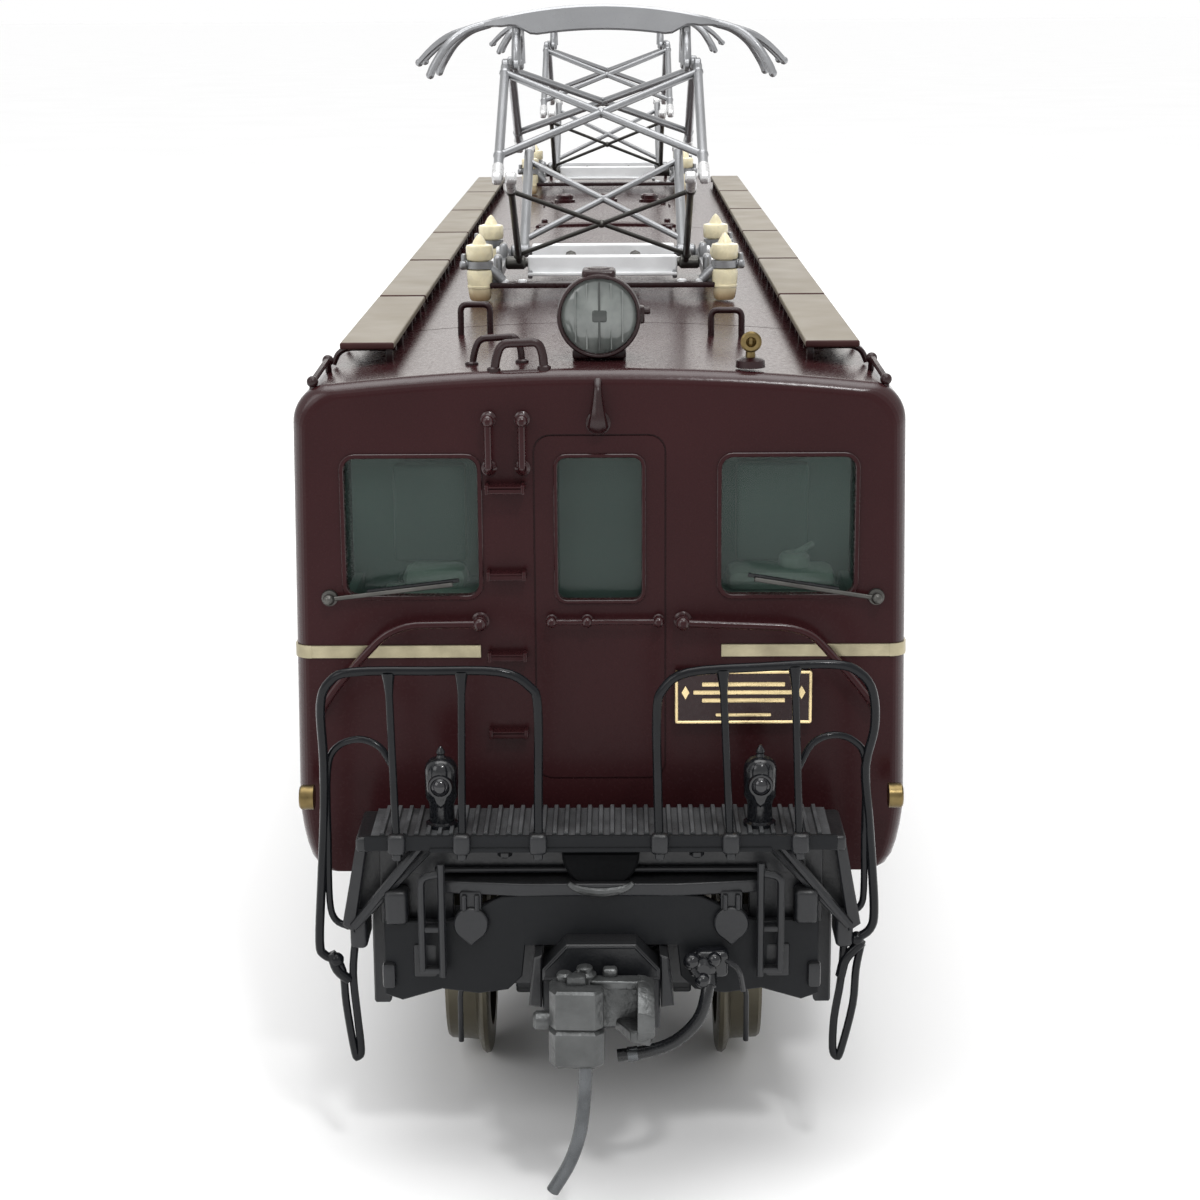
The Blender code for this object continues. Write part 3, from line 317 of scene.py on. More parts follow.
MATERIALS = {
    "paint": body_paint("maroon_body_paint", MAROON),
    "dark_paint": finish("dark_maroon_trim", darker(MAROON, 0.62), 0.3, ior=1.4),
    "black": finish("black_underframe_paint", BLACK, 0.36, variation=0.25, dust=DUST,
                    dust_share=0.10, grain=0.25, grain_size=0.2, painted_corner_shade=0.35),
    "deck": finish("worn_black_footplate", (0.03, 0.032, 0.034), 0.34, variation=0.3, blotch=2.0,
                   dust=(0.17, 0.174, 0.178), dust_share=0.5, grain=0.3, grain_size=0.25, painted_corner_shade=0.5),
    "pilot": finish("satin_black_plate", (0.0085, 0.0092, 0.0105), 0.42, ior=1.24, variation=0.12,
                    blotch=8.0, grain=0.12, dust=DUST, dust_share=0.05),
    # Near-black painted shade, used on a solid block that stands in for a deep recess.
    "painted_shade_recess": finish("shaded_black_recess", (0.003, 0.0032, 0.0036), 0.7, ior=1.15, variation=0.3),
    "wire": finish("black_wire_paint", (0.005, 0.0055, 0.0068), 0.16, ior=1.3, variation=0.3,
                   blotch=2.5, grain=0.06),
    "gloss_black": finish("gloss_black_paint", (0.006, 0.0065, 0.008), 0.16, ior=1.5, grain=0.1),
    "nickel": finish("nickel_strip", (0.36, 0.32, 0.215), 0.36, metallic=0.85, grain=0.2,
                     grain_size=0.3, variation=0.2, blotch=1.5),
    "silver": finish("silver_pantograph_paint", (0.30, 0.305, 0.315), 0.34, metallic=0.75,
                     grain=0.25, grain_size=0.18, variation=0.12, painted_corner_shade=0.4),
    "tarnished": finish("tarnished_tube", (0.09, 0.088, 0.082), 0.36, metallic=0.8,
                        grain=0.2, grain_size=0.2, variation=0.25, blotch=2.0),
    "chrome": finish("bright_metal", (0.72, 0.73, 0.75), 0.12, metallic=1.0, grain=0.08),
    # Silver paint lightened to near white: partly the bars' real silver, partly a painted highlight for the
    # glare off their tops.
    "silver_with_painted_highlight": finish("silver_paint_with_painted_highlight", (0.86, 0.87, 0.88), 0.34, metallic=0.15, grain=0.06,
                           grain_size=0.2, variation=0.05, blotch=1.5),
    "elbow_paint": finish("elbow_silver", (0.62, 0.62, 0.62), 0.3, metallic=0.5, grain=0.1, variation=0.1),
    "dull_tyre": finish("dull_carrier_tyre", (0.1, 0.09, 0.066), 0.36, metallic=0.85, variation=0.25,
                        grain=0.1),
    # Walkway boards carry a painted tan reflection at grazing angles.
    "walk": board_paint_with_painted_reflection("walkway_paint_painted_reflection"),
    "brass": finish("brass", (0.62, 0.44, 0.19), 0.26, metallic=1.0, variation=0.2, blotch=1.2),
    "old_brass": finish("tarnished_brass", (0.17, 0.125, 0.055), 0.34, metallic=1.0, variation=0.25,
                        blotch=0.8),
    "gilt": finish("gilt_raised_metal", (0.78, 0.62, 0.34), 0.3, metallic=0.7, variation=0.12,
                   blotch=1.0),
    "steel": finish("wheel_tread_steel", (0.36, 0.34, 0.31), 0.3, metallic=1.0, variation=0.2,
                    blotch=3.0, stretch=(6.0, 1.0, 1.0), grain=0.2),
    "cast": finish("dark_cast_metal", (0.09, 0.093, 0.093), 0.36, metallic=0.7, variation=0.25,
                   blotch=2.0, grain=0.6, grain_size=0.35, painted_corner_shade=0.4),
    "pin": finish("burnished_pin", (0.10, 0.105, 0.11), 0.27, metallic=0.9, variation=0.2,
                  blotch=1.5, stretch=(1.0, 1.0, 0.3)),
    "rubber": finish("hose_rubber", (0.006, 0.0064, 0.0075), 0.24, variation=0.3, blotch=1.5),
    "green": finish("cab_green_paint", (0.072, 0.15, 0.12), 0.6, variation=0.06, blotch=9.0),
    "pale_green": finish("cab_desk_green", (0.16, 0.25, 0.2), 0.45, variation=0.1, blotch=3.0),
    "seat": finish("cab_seat_cover", (0.035, 0.06, 0.05), 0.7, variation=0.2, grain=0.5),
    "glass": glazing_material("window_sheet", (0.05, 0.075, 0.066), 0.3),
    "lens": lens_material("headlight_glass"),
    "red_lens": glazing_material("tail_lamp_red_glass", (0.25, 0.012, 0.012), 0.85),
    "dark_lens": finish("dark_lamp_glass", (0.01, 0.01, 0.012), 0.06, ior=1.55, grain=0.02),
    "bulb": finish("smoked_bulb", (0.045, 0.05, 0.047), 0.2, ior=1.5),
    "porcelain": insulator_material("cream_porcelain", 46.5),
    "gear": finish("bronze_gear", (0.45, 0.33, 0.17), 0.34, metallic=1.0, variation=0.15),
    "motor": finish("motor_case_plating", (0.34, 0.35, 0.36), 0.28, metallic=1.0,
                    stretch=(1.0, 0.15, 1.0), grain=0.2, variation=0.12),
}


# ---- closed shapes, millimetres ----

def finish_shape(shape):
    bmesh.ops.recalc_face_normals(shape, faces=shape.faces)
    return shape


def box(low, high, soft=0.0, steps=2):
    """A box, its edges rounded by soft."""
    shape = bmesh.new()
    bmesh.ops.create_cube(shape, size=1.0)
    size = Vector(high) - Vector(low)
    size = Vector(abs(value) for value in size)
    middle = (Vector(high) + Vector(low)) / 2
    bmesh.ops.scale(shape, vec=size, verts=shape.verts)
    bmesh.ops.translate(shape, vec=middle, verts=shape.verts)
    if soft:
        soft = min(soft, 0.45 * min(size))
        bmesh.ops.bevel(shape, geom=list(shape.edges), offset=soft, segments=steps, profile=0.5,
                        affect="EDGES")
    return finish_shape(shape)


def loft(rings, ends=True, around=False):
    """Skin a row of equal rings; around joins the last ring to the first."""
    shape = bmesh.new()
    rows = [[shape.verts.new(point) for point in ring] for ring in rings]
    count = len(rows[0])
    pairs = list(zip(rows, rows[1:]))
    if around:
        pairs.append((rows[-1], rows[0]))
    for first, second in pairs:
        for index in range(count):
            after = (index + 1) % count
            shape.faces.new((first[index], first[after], second[after], second[index]))
    if ends and not around:
        shape.faces.new(rows[0])
        shape.faces.new(rows[-1])
    return finish_shape(shape)


def place_on(axis, a, b, along):
    return {"X": (along, a, b), "Y": (a, along, b), "Z": (a, b, along)}[axis]


def prism(outline, axis, low, high, soft=0.0):
    """Extrude an outline along an axis, with its end edges chamfered by soft."""
    if not soft:
        return loft([[place_on(axis, a, b, along) for a, b in outline] for along in (low, high)])
    shrunk = inset_outline(outline, soft)
    rings = [(low, shrunk), (low + soft, outline), (high - soft, outline), (high, shrunk)]
    return loft([[place_on(axis, a, b, along) for a, b in ring] for along, ring in rings])


def inset_outline(outline, inset):
    """The outline moved inwards by inset, corner by corner."""
    area = sum(a0 * b1 - a1 * b0 for (a0, b0), (a1, b1) in zip(outline, outline[1:] + outline[:1]))
    turn = 1 if area > 0 else -1
    moved = []
    for index, point in enumerate(outline):
        here = Vector(point)
        before = (here - Vector(outline[index - 1])).normalized()
        after = (Vector(outline[(index + 1) % len(outline)]) - here).normalized()
        normal = Vector((-before.y - after.y, before.x + after.x)) * turn
        if normal.length < 1e-6:
            moved.append(tuple(here))
            continue
        normal.normalize()
        side = Vector((-before.y, before.x)) * turn
        moved.append(tuple(here + normal * inset / max(normal.dot(side), 0.35)))
    return moved


def rounded_rectangle(a0, b0, a1, b1, radius, steps=5):
    """Corner-rounded rectangle outline, anticlockwise."""
    outline = []
    corners = ((a1 - radius, b1 - radius, 0), (a0 + radius, b1 - radius, 1),
               (a0 + radius, b0 + radius, 2), (a1 - radius, b0 + radius, 3))
    for a, b, quarter in corners:
        for step in range(steps + 1):
            angle = math.pi / 2 * (quarter + step / steps)
            outline.append((a + radius * math.cos(angle), b + radius * math.sin(angle)))
    return outline


def frame_ring(outline, width, axis, low, high, soft=0.04):
    """A flat frame that follows an outline, width wide inwards, with softened edges."""
    inner = inset_outline(outline, width)
    outer_top = inset_outline(outline, soft)
    inner_top = inset_outline(outline, width - soft)
    edge = high - soft if high > low else high + soft
    rings = [(outline, low), (outline, edge), (outer_top, high), (inner_top, high),
             (inner, edge), (inner, low)]
    shape = bmesh.new()
    rows = [[shape.verts.new(place_on(axis, a, b, along)) for a, b in ring] for ring, along in rings]
    count = len(outline)
    for index in range(len(rows)):
        first, second = rows[index], rows[(index + 1) % len(rows)]
        for step in range(count):
            after = (step + 1) % count
            shape.faces.new((first[step], first[after], second[after], second[step]))
    return finish_shape(shape)


def sweep(route, radius, sides=10, around=False):
    """A round wire along a route; radius is one number or one per point."""
    points = [Vector(point) for point in route]
    sizes = radius if isinstance(radius, (list, tuple)) else [radius] * len(points)
    rings = []
    side = None
    last = None
    count = len(points)
    for index, point in enumerate(points):
        if around:
            before, after = points[index - 1], points[(index + 1) % count]
        else:
            before, after = points[max(index - 1, 0)], points[min(index + 1, count - 1)]
        ahead = (after - before).normalized()
        if side is None:
            guide = Vector((0, 0, 1)) if abs(ahead.z) < 0.9 else Vector((1, 0, 0))
            side = ahead.cross(guide).normalized()
        else:
            side = last.rotation_difference(ahead) @ side
        last = ahead
        other = ahead.cross(side)
        turn = [2 * math.pi * step / sides for step in range(sides)]
        rings.append([point + sizes[index] * (math.cos(t) * side + math.sin(t) * other) for t in turn])
    return loft(rings, around=around)


def rod(start, end, radius, sides=12):
    """A round bar with its end edges softened."""
    a, b = Vector(start), Vector(end)
    step = (b - a).normalized() * min(radius * 0.3, (b - a).length * 0.2)
    return sweep([a, a + step, b - step, b], [radius * 0.75, radius, radius, radius * 0.75], sides)


def ball(centre, radius, sides=16):
    shape = bmesh.new()
    bmesh.ops.create_uvsphere(shape, u_segments=sides, v_segments=sides // 2, radius=radius)
    bmesh.ops.translate(shape, vec=Vector(centre), verts=shape.verts)
    return finish_shape(shape)


def smooth_route(points, steps=5):
    """Points of a smooth curve through the given points."""
    knots = [Vector(point) for point in points]
    padded = [2 * knots[0] - knots[1]] + knots + [2 * knots[-1] - knots[-2]]
    route = []
    for a, b, c, d in zip(padded, padded[1:], padded[2:], padded[3:]):
        for step in range(steps):
            t = step / steps
            route.append(0.5 * (2 * b + (c - a) * t + (2 * a - 5 * b + 4 * c - d) * t ** 2
                                + (3 * b - a - 3 * c + d) * t ** 3))
    route.append(knots[-1])
    return route


def bent_route(points, radius, steps=4):
    """A route of straight stretches with an arc of about radius at each corner."""
    knots = [Vector(point) for point in points]
    route = [knots[0]]
    for before, here, after in zip(knots, knots[1:], knots[2:]):
        back, ahead = (before - here), (after - here)
        reach = min(radius, back.length * 0.48, ahead.length * 0.48)
        first, last = here + back.normalized() * reach, here + ahead.normalized() * reach
        for step in range(steps + 1):
            t = step / steps
            route.append((1 - t) ** 2 * first + 2 * t * (1 - t) * here + t * t * last)
    route.append(knots[-1])
    return route


def orbit(axis, centre, radius, angle, along):
    """A point at a radius and angle round an axis through centre."""
    place = place_on(axis, radius * math.cos(angle), radius * math.sin(angle), along)
    return Vector(centre) + Vector(place)


def turned(profile, axis, centre, sides=32):
    """Turn a profile of (place along the axis, radius) pairs about an axis through centre."""
    turn = [2 * math.pi * step / sides for step in range(sides)]
    return loft([[orbit(axis, centre, radius, t, along) for t in turn] for along, radius in profile])


def ring_shape(profile, axis, centre, sides=32):
    """Turn a closed profile into a ring with a hole."""
    turn = [2 * math.pi * step / sides for step in range(sides)]
    return loft([[orbit(axis, centre, radius, t, along) for along, radius in profile] for t in turn],
                around=True)


def coil(axis, centre, radius, start, length, turns, steps, wire, sides):
    """A wire wound about an axis; centre gives the two coordinates across the axis."""
    points = []
    for step in range(turns * steps + 1):
        angle = 2 * math.pi * step / steps
        along = start + length * step / (turns * steps)
        points.append(place_on(axis, centre[0] + radius * math.cos(angle),
                               centre[1] + radius * math.sin(angle), along))
    return sweep(points, wire, sides)


def moved(shape, matrix):
    bmesh.ops.transform(shape, matrix=matrix, verts=shape.verts)
    return finish_shape(shape)


def joined(shapes):
    """Put several shapes into one, without cutting them."""
    result = bmesh.new()
    for shape in shapes:
        mesh = bpy.data.meshes.new("joining")
        shape.to_mesh(mesh)
        shape.free()
        result.from_mesh(mesh)
        bpy.data.meshes.remove(mesh)
    return result


def temporary_object(shape, collection):
    mesh = bpy.data.meshes.new("temporary")
    shape.to_mesh(mesh)
    shape.free()
    piece = bpy.data.objects.new("temporary", mesh)
    collection.objects.link(piece)
    return piece


def carved(base_shape, cuts):
    """Cut shapes away from a base."""
    scene = bpy.context.scene.collection
    base = temporary_object(base_shape, scene)
    group = bpy.data.collections.new("operands")
    scene.children.link(group)
    helpers = [base] + [temporary_object(shape, group) for shape in cuts]
    modifier = base.modifiers.new("cut", "BOOLEAN")
    modifier.operation = "DIFFERENCE"
    modifier.operand_type = "COLLECTION"
    modifier.collection = group
    modifier.solver = "EXACT"
    bpy.context.view_layer.update()
    graph = bpy.context.evaluated_depsgraph_get()
    result = bmesh.new()
    result.from_mesh(base.evaluated_get(graph).to_mesh())
    for helper in helpers:
        bpy.data.objects.remove(helper, do_unlink=True)
    bpy.data.collections.remove(group)
    bmesh.ops.remove_doubles(result, verts=result.verts, dist=WELD_DISTANCE)
    return result


# ---- pieces ----

def add_piece(name, parts, body="body", replaces=(), sharp=32.0, bevel=0.0):
    """Make one object of (shape or list of shapes, material) pairs, riding on a body."""
    mesh = bpy.data.meshes.new(name)
    whole = bmesh.new()
    for index, (shape, material) in enumerate(parts):
        if isinstance(shape, list):
            shape = joined(shape)
        part = bpy.data.meshes.new("part")
        shape.to_mesh(part)
        shape.free()
        before = len(whole.faces)
        whole.from_mesh(part)
        bpy.data.meshes.remove(part)
        whole.faces.ensure_lookup_table()
        for face in whole.faces[before:]:
            face.material_index = index
        mesh.materials.append(MATERIALS[material])
    bmesh.ops.scale(whole, vec=(MM, MM, MM), verts=whole.verts)
    whole.to_mesh(mesh)
    whole.free()
    mesh.shade_smooth()
    mesh.set_sharp_from_angle(angle=math.radians(sharp))
    piece = bpy.data.objects.new(name, mesh)
    bpy.context.scene.collection.objects.link(piece)
    if bevel:
        rounding = piece.modifiers.new("soft_edges", "BEVEL")
        rounding.width = bevel * MM
        rounding.segments = 2
        rounding.limit_method = "ANGLE"
        rounding.angle_limit = math.radians(sharp)
    weighting = piece.modifiers.new("flat_shading", "WEIGHTED_NORMAL")
    weighting.keep_sharp = True
    weighting.weight = 100
    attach(piece, body)
    if replaces:
        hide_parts(*replaces)


# ---- body shell ----

def roof_height(x):
    return ROOF_CROWN - x * x / (2 * ROOF_RADIUS)


def body_section(inset, narrow=1.0, low=1.0, bottom=BODY_BOTTOM):
    """Half outline of the body from its lower edge up over the roof, inset all round."""
    top_x = (SIDE_TOP_X - inset) * narrow
    low_x = (SIDE_LOW_X - inset) * narrow
    corner = ROOF_CORNER * min(narrow, low)
    crown = BODY_BOTTOM + (ROOF_CROWN - inset - BODY_BOTTOM) * low

    def roof(x):
        return crown - (x / narrow) ** 2 / (2 * ROOF_RADIUS) * low

    corner_x = top_x - corner
    corner_z = roof(corner_x) - corner
    tuck = ((1.45, 0.0), (0.95, 0.3), (0.6, 0.85), (0.36, 1.6), (0.16, 2.6), (0.0, 3.9))
    half = [(low_x - shift * narrow, bottom + rise * low) for shift, rise in tuck]
    steps = 12
    for step in range(steps + 1):
        angle = math.pi / 2 * step / steps
        half.append((corner_x + corner * math.cos(angle), corner_z + corner * math.sin(angle)))
    half += [(corner_x * part / 8, roof(corner_x * part / 8)) for part in range(7, 0, -1)]
    return half, crown


def body_ring(y, inset, narrow=1.0, low=1.0, bottom=BODY_BOTTOM):
    half, crown = body_section(inset, narrow, low, bottom)
    outline = half + [(0.0, crown)] + [(-x, z) for x, z in reversed(half)]
    return [(x, y, z) for x, z in outline]


def nose_narrow(u):
    return max(1.0 - u ** 3, 0.0) ** (1 / 2.4)


def nose_low(u):
    return max(1.0 - 0.97 * u ** 2.2, 0.0) ** (1 / 1.9)


def body_solid(inset, bottom=BODY_BOTTOM):
    rings = []
    steps = 8
    for step in range(steps + 1):
        angle = math.pi / 2 * step / steps
        shrink = FACE_ROUNDING * (1 - math.sin(angle))
        advance = FACE_ROUNDING * (1 - math.cos(angle))
        rings.append(body_ring(FACE_Y + inset + advance, inset + shrink, bottom=bottom))
    rings += [body_ring(y, inset, bottom=bottom) for y in (-60.0, -25.0, 10.0, 45.0)]
    length = NOSE_TIP - NOSE_START - inset
    steps = 34
    for step in range(steps + 1):
        u = 0.992 * math.sin(math.pi / 2 * step / steps)
        rings.append(body_ring(NOSE_START + length * u, inset, nose_narrow(u), nose_low(u), bottom))
    return loft(rings)


def skin_x(y, z, proud=0.0):
    """Half width of the body at a place on its side."""
    u = max(0.0, (y - NOSE_START) / (NOSE_TIP - NOSE_START))
    share = (z - BODY_BOTTOM) / (ROOF_CROWN - ROOF_CORNER - BODY_BOTTOM)
    return (SIDE_LOW_X + (SIDE_TOP_X - SIDE_LOW_X) * share) * nose_narrow(u) + proud


def nose_y(x, z):
    """Y of the nose skin ahead of a point (x, z), found by halving the gap."""
    near, far = NOSE_START, NOSE_TIP
    for _ in range(30):
        middle = (near + far) / 2
        u = (middle - NOSE_START) / (NOSE_TIP - NOSE_START)
        narrow, low = max(nose_narrow(u), 1e-4), max(nose_low(u), 1e-4)
        crown = BODY_BOTTOM + (ROOF_CROWN - BODY_BOTTOM) * low
        roof = crown - (x / narrow) ** 2 / (2 * ROOF_RADIUS) * low
        inside = abs(x) < SIDE_TOP_X * narrow and z < roof
        near, far = (middle, far) if inside else (near, middle)
    return near


CAB_WINDOWS = [(-14.65, -6.85), (6.85, 14.65)]
DOOR_WINDOW = (-2.5, 2.5)
DOOR_HALF = 3.8
DOOR_LOW = 22.4
DOOR_TOP = 42.85


def make_body():
    """Hollow painted shell with window openings, a groove round the door and seams across the roof."""
    cuts = []
    face_holes = [(low, high, WINDOW_LOW, 0.75) for low, high in CAB_WINDOWS]
    face_holes.append((*DOOR_WINDOW, WINDOW_LOW - 0.3, 0.6))
    for low, high, floor, radius in face_holes:
        outline = rounded_rectangle(low, floor, high, WINDOW_HIGH, radius)
        cuts.append(prism(outline, "Y", FACE_Y - 1, FACE_Y + 3))
    for side in (-1, 1):
        inner, outer = sorted((side * (SIDE_TOP_X - 2.5), side * (SIDE_LOW_X + 1)))
        for start, end in SIDE_WINDOWS:
            outline = rounded_rectangle(start, SIDE_WINDOW_LOW, end, SIDE_WINDOW_HIGH, 0.8)
            cuts.append(prism(outline, "X", inner, outer))
        near, far = sorted((side * 1.2, side * 8.2))
        cuts.append(prism(rounded_rectangle(near, 36.2, far, 40.6, 0.8), "Y", 84, 99))
    groove = 0.11
    door = rounded_rectangle(-DOOR_HALF, DOOR_LOW, DOOR_HALF, DOOR_TOP, 1.0)
    cuts.append(frame_ring(door, groove, "Y", FACE_Y + 0.12, FACE_Y - 0.5, soft=0.005))
    cuts += [seam_cutter(y) for y in ROOF_SEAMS]
    hollow = body_solid(SKIN, bottom=BODY_BOTTOM - 2)
    skin = carved(body_solid(0.0), [hollow] + cuts)
    add_piece("body_skin", [(skin, "paint")], replaces=["body_shell"], sharp=38)


def seam_cutter(y):
    """A shallow groove across the roof, from edge to edge."""
    half = SIDE_TOP_X - ROOF_CORNER
    top = [(x, roof_height(x) - 0.12) for x in [half * step / 12 for step in range(-12, 13)]]
    outline = top + [(half, ROOF_CROWN + 1), (-half, ROOF_CROWN + 1)]
    return prism(outline, "Y", y - 0.09, y + 0.09)


def side_frame(side, outline, width, start, level):
    """A flat frame just proud of the body side at (start, level); it leans and narrows with the body."""
    base = skin_x(start, level)
    shape = frame_ring(outline, width, "X", side * (base - 0.4), side * (base + 0.1))
    for vert in shape.verts:
        taper = nose_narrow(max(0.0, (vert.co.y - NOSE_START) / (NOSE_TIP - NOSE_START)))
        vert.co.x = (vert.co.x - side * SIDE_LEAN * (vert.co.z - level)) * taper
    return shape


def make_window_rims():
    """Rims of the cab, door and side windows, and the bright frames of the nose windscreens."""
    parts = []
    proud = 0.14
    for low, high in CAB_WINDOWS:
        rim = rounded_rectangle(low - 0.16, WINDOW_LOW - 0.16, high + 0.16, WINDOW_HIGH + 0.16, 0.9)
        parts.append(frame_ring(rim, 0.26, "Y", FACE_Y + 0.5, FACE_Y - proud))
    low, high = DOOR_WINDOW
    rim = rounded_rectangle(low - 0.12, WINDOW_LOW - 0.42, high + 0.12, WINDOW_HIGH + 0.12, 0.72)
    parts.append(frame_ring(rim, 0.22, "Y", FACE_Y + 0.5, FACE_Y - proud))
    for side in (-1, 1):
        for start, end in SIDE_WINDOWS:
            rim = rounded_rectangle(start - 0.2, SIDE_WINDOW_LOW - 0.2, end + 0.2,
                                    SIDE_WINDOW_HIGH + 0.2, 1.0)
            parts.append(side_frame(side, rim, 0.3, start, SIDE_WINDOW_LEVEL))
    add_piece("window_rims", [(parts, "paint")])
    add_piece("nose_window_rims", [(nose_window_rims(), "nickel")])


def nose_window_rims():
    """Thin bright frames that follow the nose skin round each windscreen."""
    rims = []
    for side in (-1, 1):
        low, high = sorted((side * 1.1, side * 8.3))
        outline = rounded_rectangle(low, 36.1, high, 40.7, 0.85, steps=6)
        route = []
        for (a0, b0), (a1, b1) in zip(outline, outline[1:] + outline[:1]):
            count = max(1, int(math.hypot(a1 - a0, b1 - b0) / 0.5))
            for step in range(count):
                share = step / count
                x, z = a0 + (a1 - a0) * share, b0 + (b1 - b0) * share
                route.append((x, nose_y(x, z) + 0.02, z))
        rims.append(sweep(route, 0.2, 8, around=True))
    return rims


def side_strip(y0, y1, z0, z1, proud, side, steps=1):
    """A thin strip on the body side that follows its lean and the nose's curve."""
    rings = []
    for step in range(steps + 1):
        y = y0 + (y1 - y0) * step / steps
        inner_low, inner_high = skin_x(y, z0, -0.3), skin_x(y, z1, -0.3)
        outer_low, outer_high = skin_x(y, z0, proud), skin_x(y, z1, proud)
        soft = 0.05
        rings.append([(side * inner_low, y, z0), (side * (outer_low - soft), y, z0),
                      (side * outer_low, y, z0 + soft), (side * outer_high, y, z1 - soft),
                      (side * (outer_high - soft), y, z1), (side * inner_high, y, z1)])
    return loft(rings)


def make_belt():
    """The bright waist strip: two lengths on the cab face, then along each side and round the nose."""
    parts = []
    for side, inner in ((-1, 6.9), (1, 6.97)):
        low, high = sorted((side * inner, side * (SIDE_TOP_X + 0.1 - 0.78)))
        parts.append(box((low, FACE_Y - 0.13, BELT_LOW), (high, FACE_Y + 0.3, BELT_HIGH), 0.05))
        bend = []
        for step in range(7):
            angle = math.pi / 2 * step / 6
            reach = FACE_ROUNDING + 0.13
            x = skin_x(FACE_Y, 30.2) - FACE_ROUNDING + reach * math.sin(angle)
            y = FACE_Y + FACE_ROUNDING - reach * math.cos(angle)
            inside = side * (x - 0.4 * math.sin(angle)), y + 0.4 * math.cos(angle)
            bend.append([(side * x, y, BELT_LOW), (side * x, y, BELT_HIGH), (*inside, BELT_HIGH),
                         (*inside, BELT_LOW)])
        parts.append(loft(bend))
        parts.append(side_strip(FACE_Y + FACE_ROUNDING, NOSE_START, BELT_LOW, BELT_HIGH, 0.13, side, 6))
        parts.append(side_strip(NOSE_START, 100.6, BELT_LOW, BELT_HIGH, 0.13, side, 30))
    add_piece("waist_strip", [(parts, "nickel")])


# ---- cab face ----

def stub(x, z, radius=0.38, reach=0.75):
    """A turned foot on the cab face that a handrail's end sits in."""
    profile = [(FACE_Y + 0.2, radius * 1.25), (FACE_Y - 0.14, radius * 1.25), (FACE_Y - 0.2, radius),
               (FACE_Y - reach, radius), (FACE_Y - reach - 0.1, radius * 0.7)]
    return turned(profile, "Y", (x, 0, z), 16)


def make_face_handrails():
    """Curved handrails under the windows, the two short ones by the steps and the door bars."""
    wire = 0.24
    proud = FACE_Y - 0.85
    parts = []
    left = [(-6.9, 32.0), (-11.0, 31.95), (-12.4, 31.4), (-14.2, 29.5), (-15.3, 28.2), (-16.2, 26.8)]
    right = [(4.75, 32.0), (10.9, 31.75), (12.2, 31.3), (14.0, 29.3), (14.9, 28.2), (15.8, 27.0)]
    for route in (left, right):
        inner, outer = route[0], route[-1]
        line = [(x, proud, z) for x, z in route]
        line = [(inner[0], FACE_Y, inner[1])] + line + [(outer[0], FACE_Y + 0.1, outer[1] - 0.2)]
        parts.append(sweep(bent_route(line, 0.9, 5), wire, 12))
        parts.append(stub(inner[0], inner[1], 0.42, 0.95))
        parts.append(ball((inner[0], proud, inner[1]), 0.42))
    for x in (-6.25, -4.35):
        line = [(x, FACE_Y, 43.75), (x, proud - 0.1, 43.75), (x, proud - 0.1, 40.95), (x, FACE_Y, 40.95)]
        parts.append(sweep(bent_route(line, 0.35, 4), 0.23, 12))
        for z in (43.75, 40.95):
            parts.append(stub(x, z, 0.36, 0.3))
        parts.append(ball((x, proud - 0.1, 43.75), 0.36))
    bar_z = 32.05
    for low, high in ((-2.8, -0.75), (-0.75, 3.35)):
        line = [(low, FACE_Y, bar_z), (low, proud + 0.15, bar_z), (high, proud + 0.15, bar_z),
                (high, FACE_Y, bar_z)]
        parts.append(sweep(bent_route(line, 0.3, 4), 0.17, 10))
    for x in (-2.8, -0.75, 3.35):
        parts.append(ball((x, proud + 0.15, bar_z), 0.33))
        parts.append(stub(x, bar_z, 0.26, 0.4))
    add_piece("face_handrails", [(parts, "paint")])


def make_face_steps():
    """Four folded rungs beside the door, the top one the deepest."""
    parts = []
    half = 1.12
    x = -5.35
    for z, reach in ((39.95, 1.25), (34.85, 0.9), (30.05, 0.85), (25.4, 0.8)):
        low = FACE_Y - reach
        parts.append(box((x - half + 0.12, low, z - 0.08), (x + half - 0.12, FACE_Y + 0.1, z + 0.12), 0.05))
        parts.append(box((x - half + 0.12, low, z - 0.3), (x + half - 0.12, low + 0.18, z + 0.1), 0.07))
        for side in (-1, 1):
            edge = x + side * (half - 0.1)
            parts.append(box((edge - 0.12, low - 0.05, z - 0.34),
                             (edge + 0.12, FACE_Y + 0.1, z + 0.22), 0.08))
    add_piece("face_steps", [(parts, "paint")])


def make_marker_hook():
    """Tapered bracket over the door on a round foot."""
    x = -0.05
    foot = turned([(FACE_Y + 0.2, 0.7), (FACE_Y - 0.12, 0.7), (FACE_Y - 0.22, 0.55)], "Y", (x, 0, 43.5), 20)
    spine = [(x, FACE_Y - 0.3, 43.3), (x, FACE_Y - 0.62, 43.7), (x, FACE_Y - 0.55, 44.6),
             (x, FACE_Y - 0.35, 45.5), (x, FACE_Y + 0.2, 45.85)]
    blade = sweep(smooth_route(spine, 4), [0.3 + 0.14 * math.cos(step * 0.25) for step in range(17)], 10)
    bmesh.ops.scale(blade, vec=(1.35, 1.0, 1.0), verts=blade.verts)
    cup = box((x - 0.45, FACE_Y - 0.75, 43.25), (x + 0.45, FACE_Y - 0.2, 43.75), 0.14)
    add_piece("marker_hook", [([foot, blade, cup], "dark_paint")])


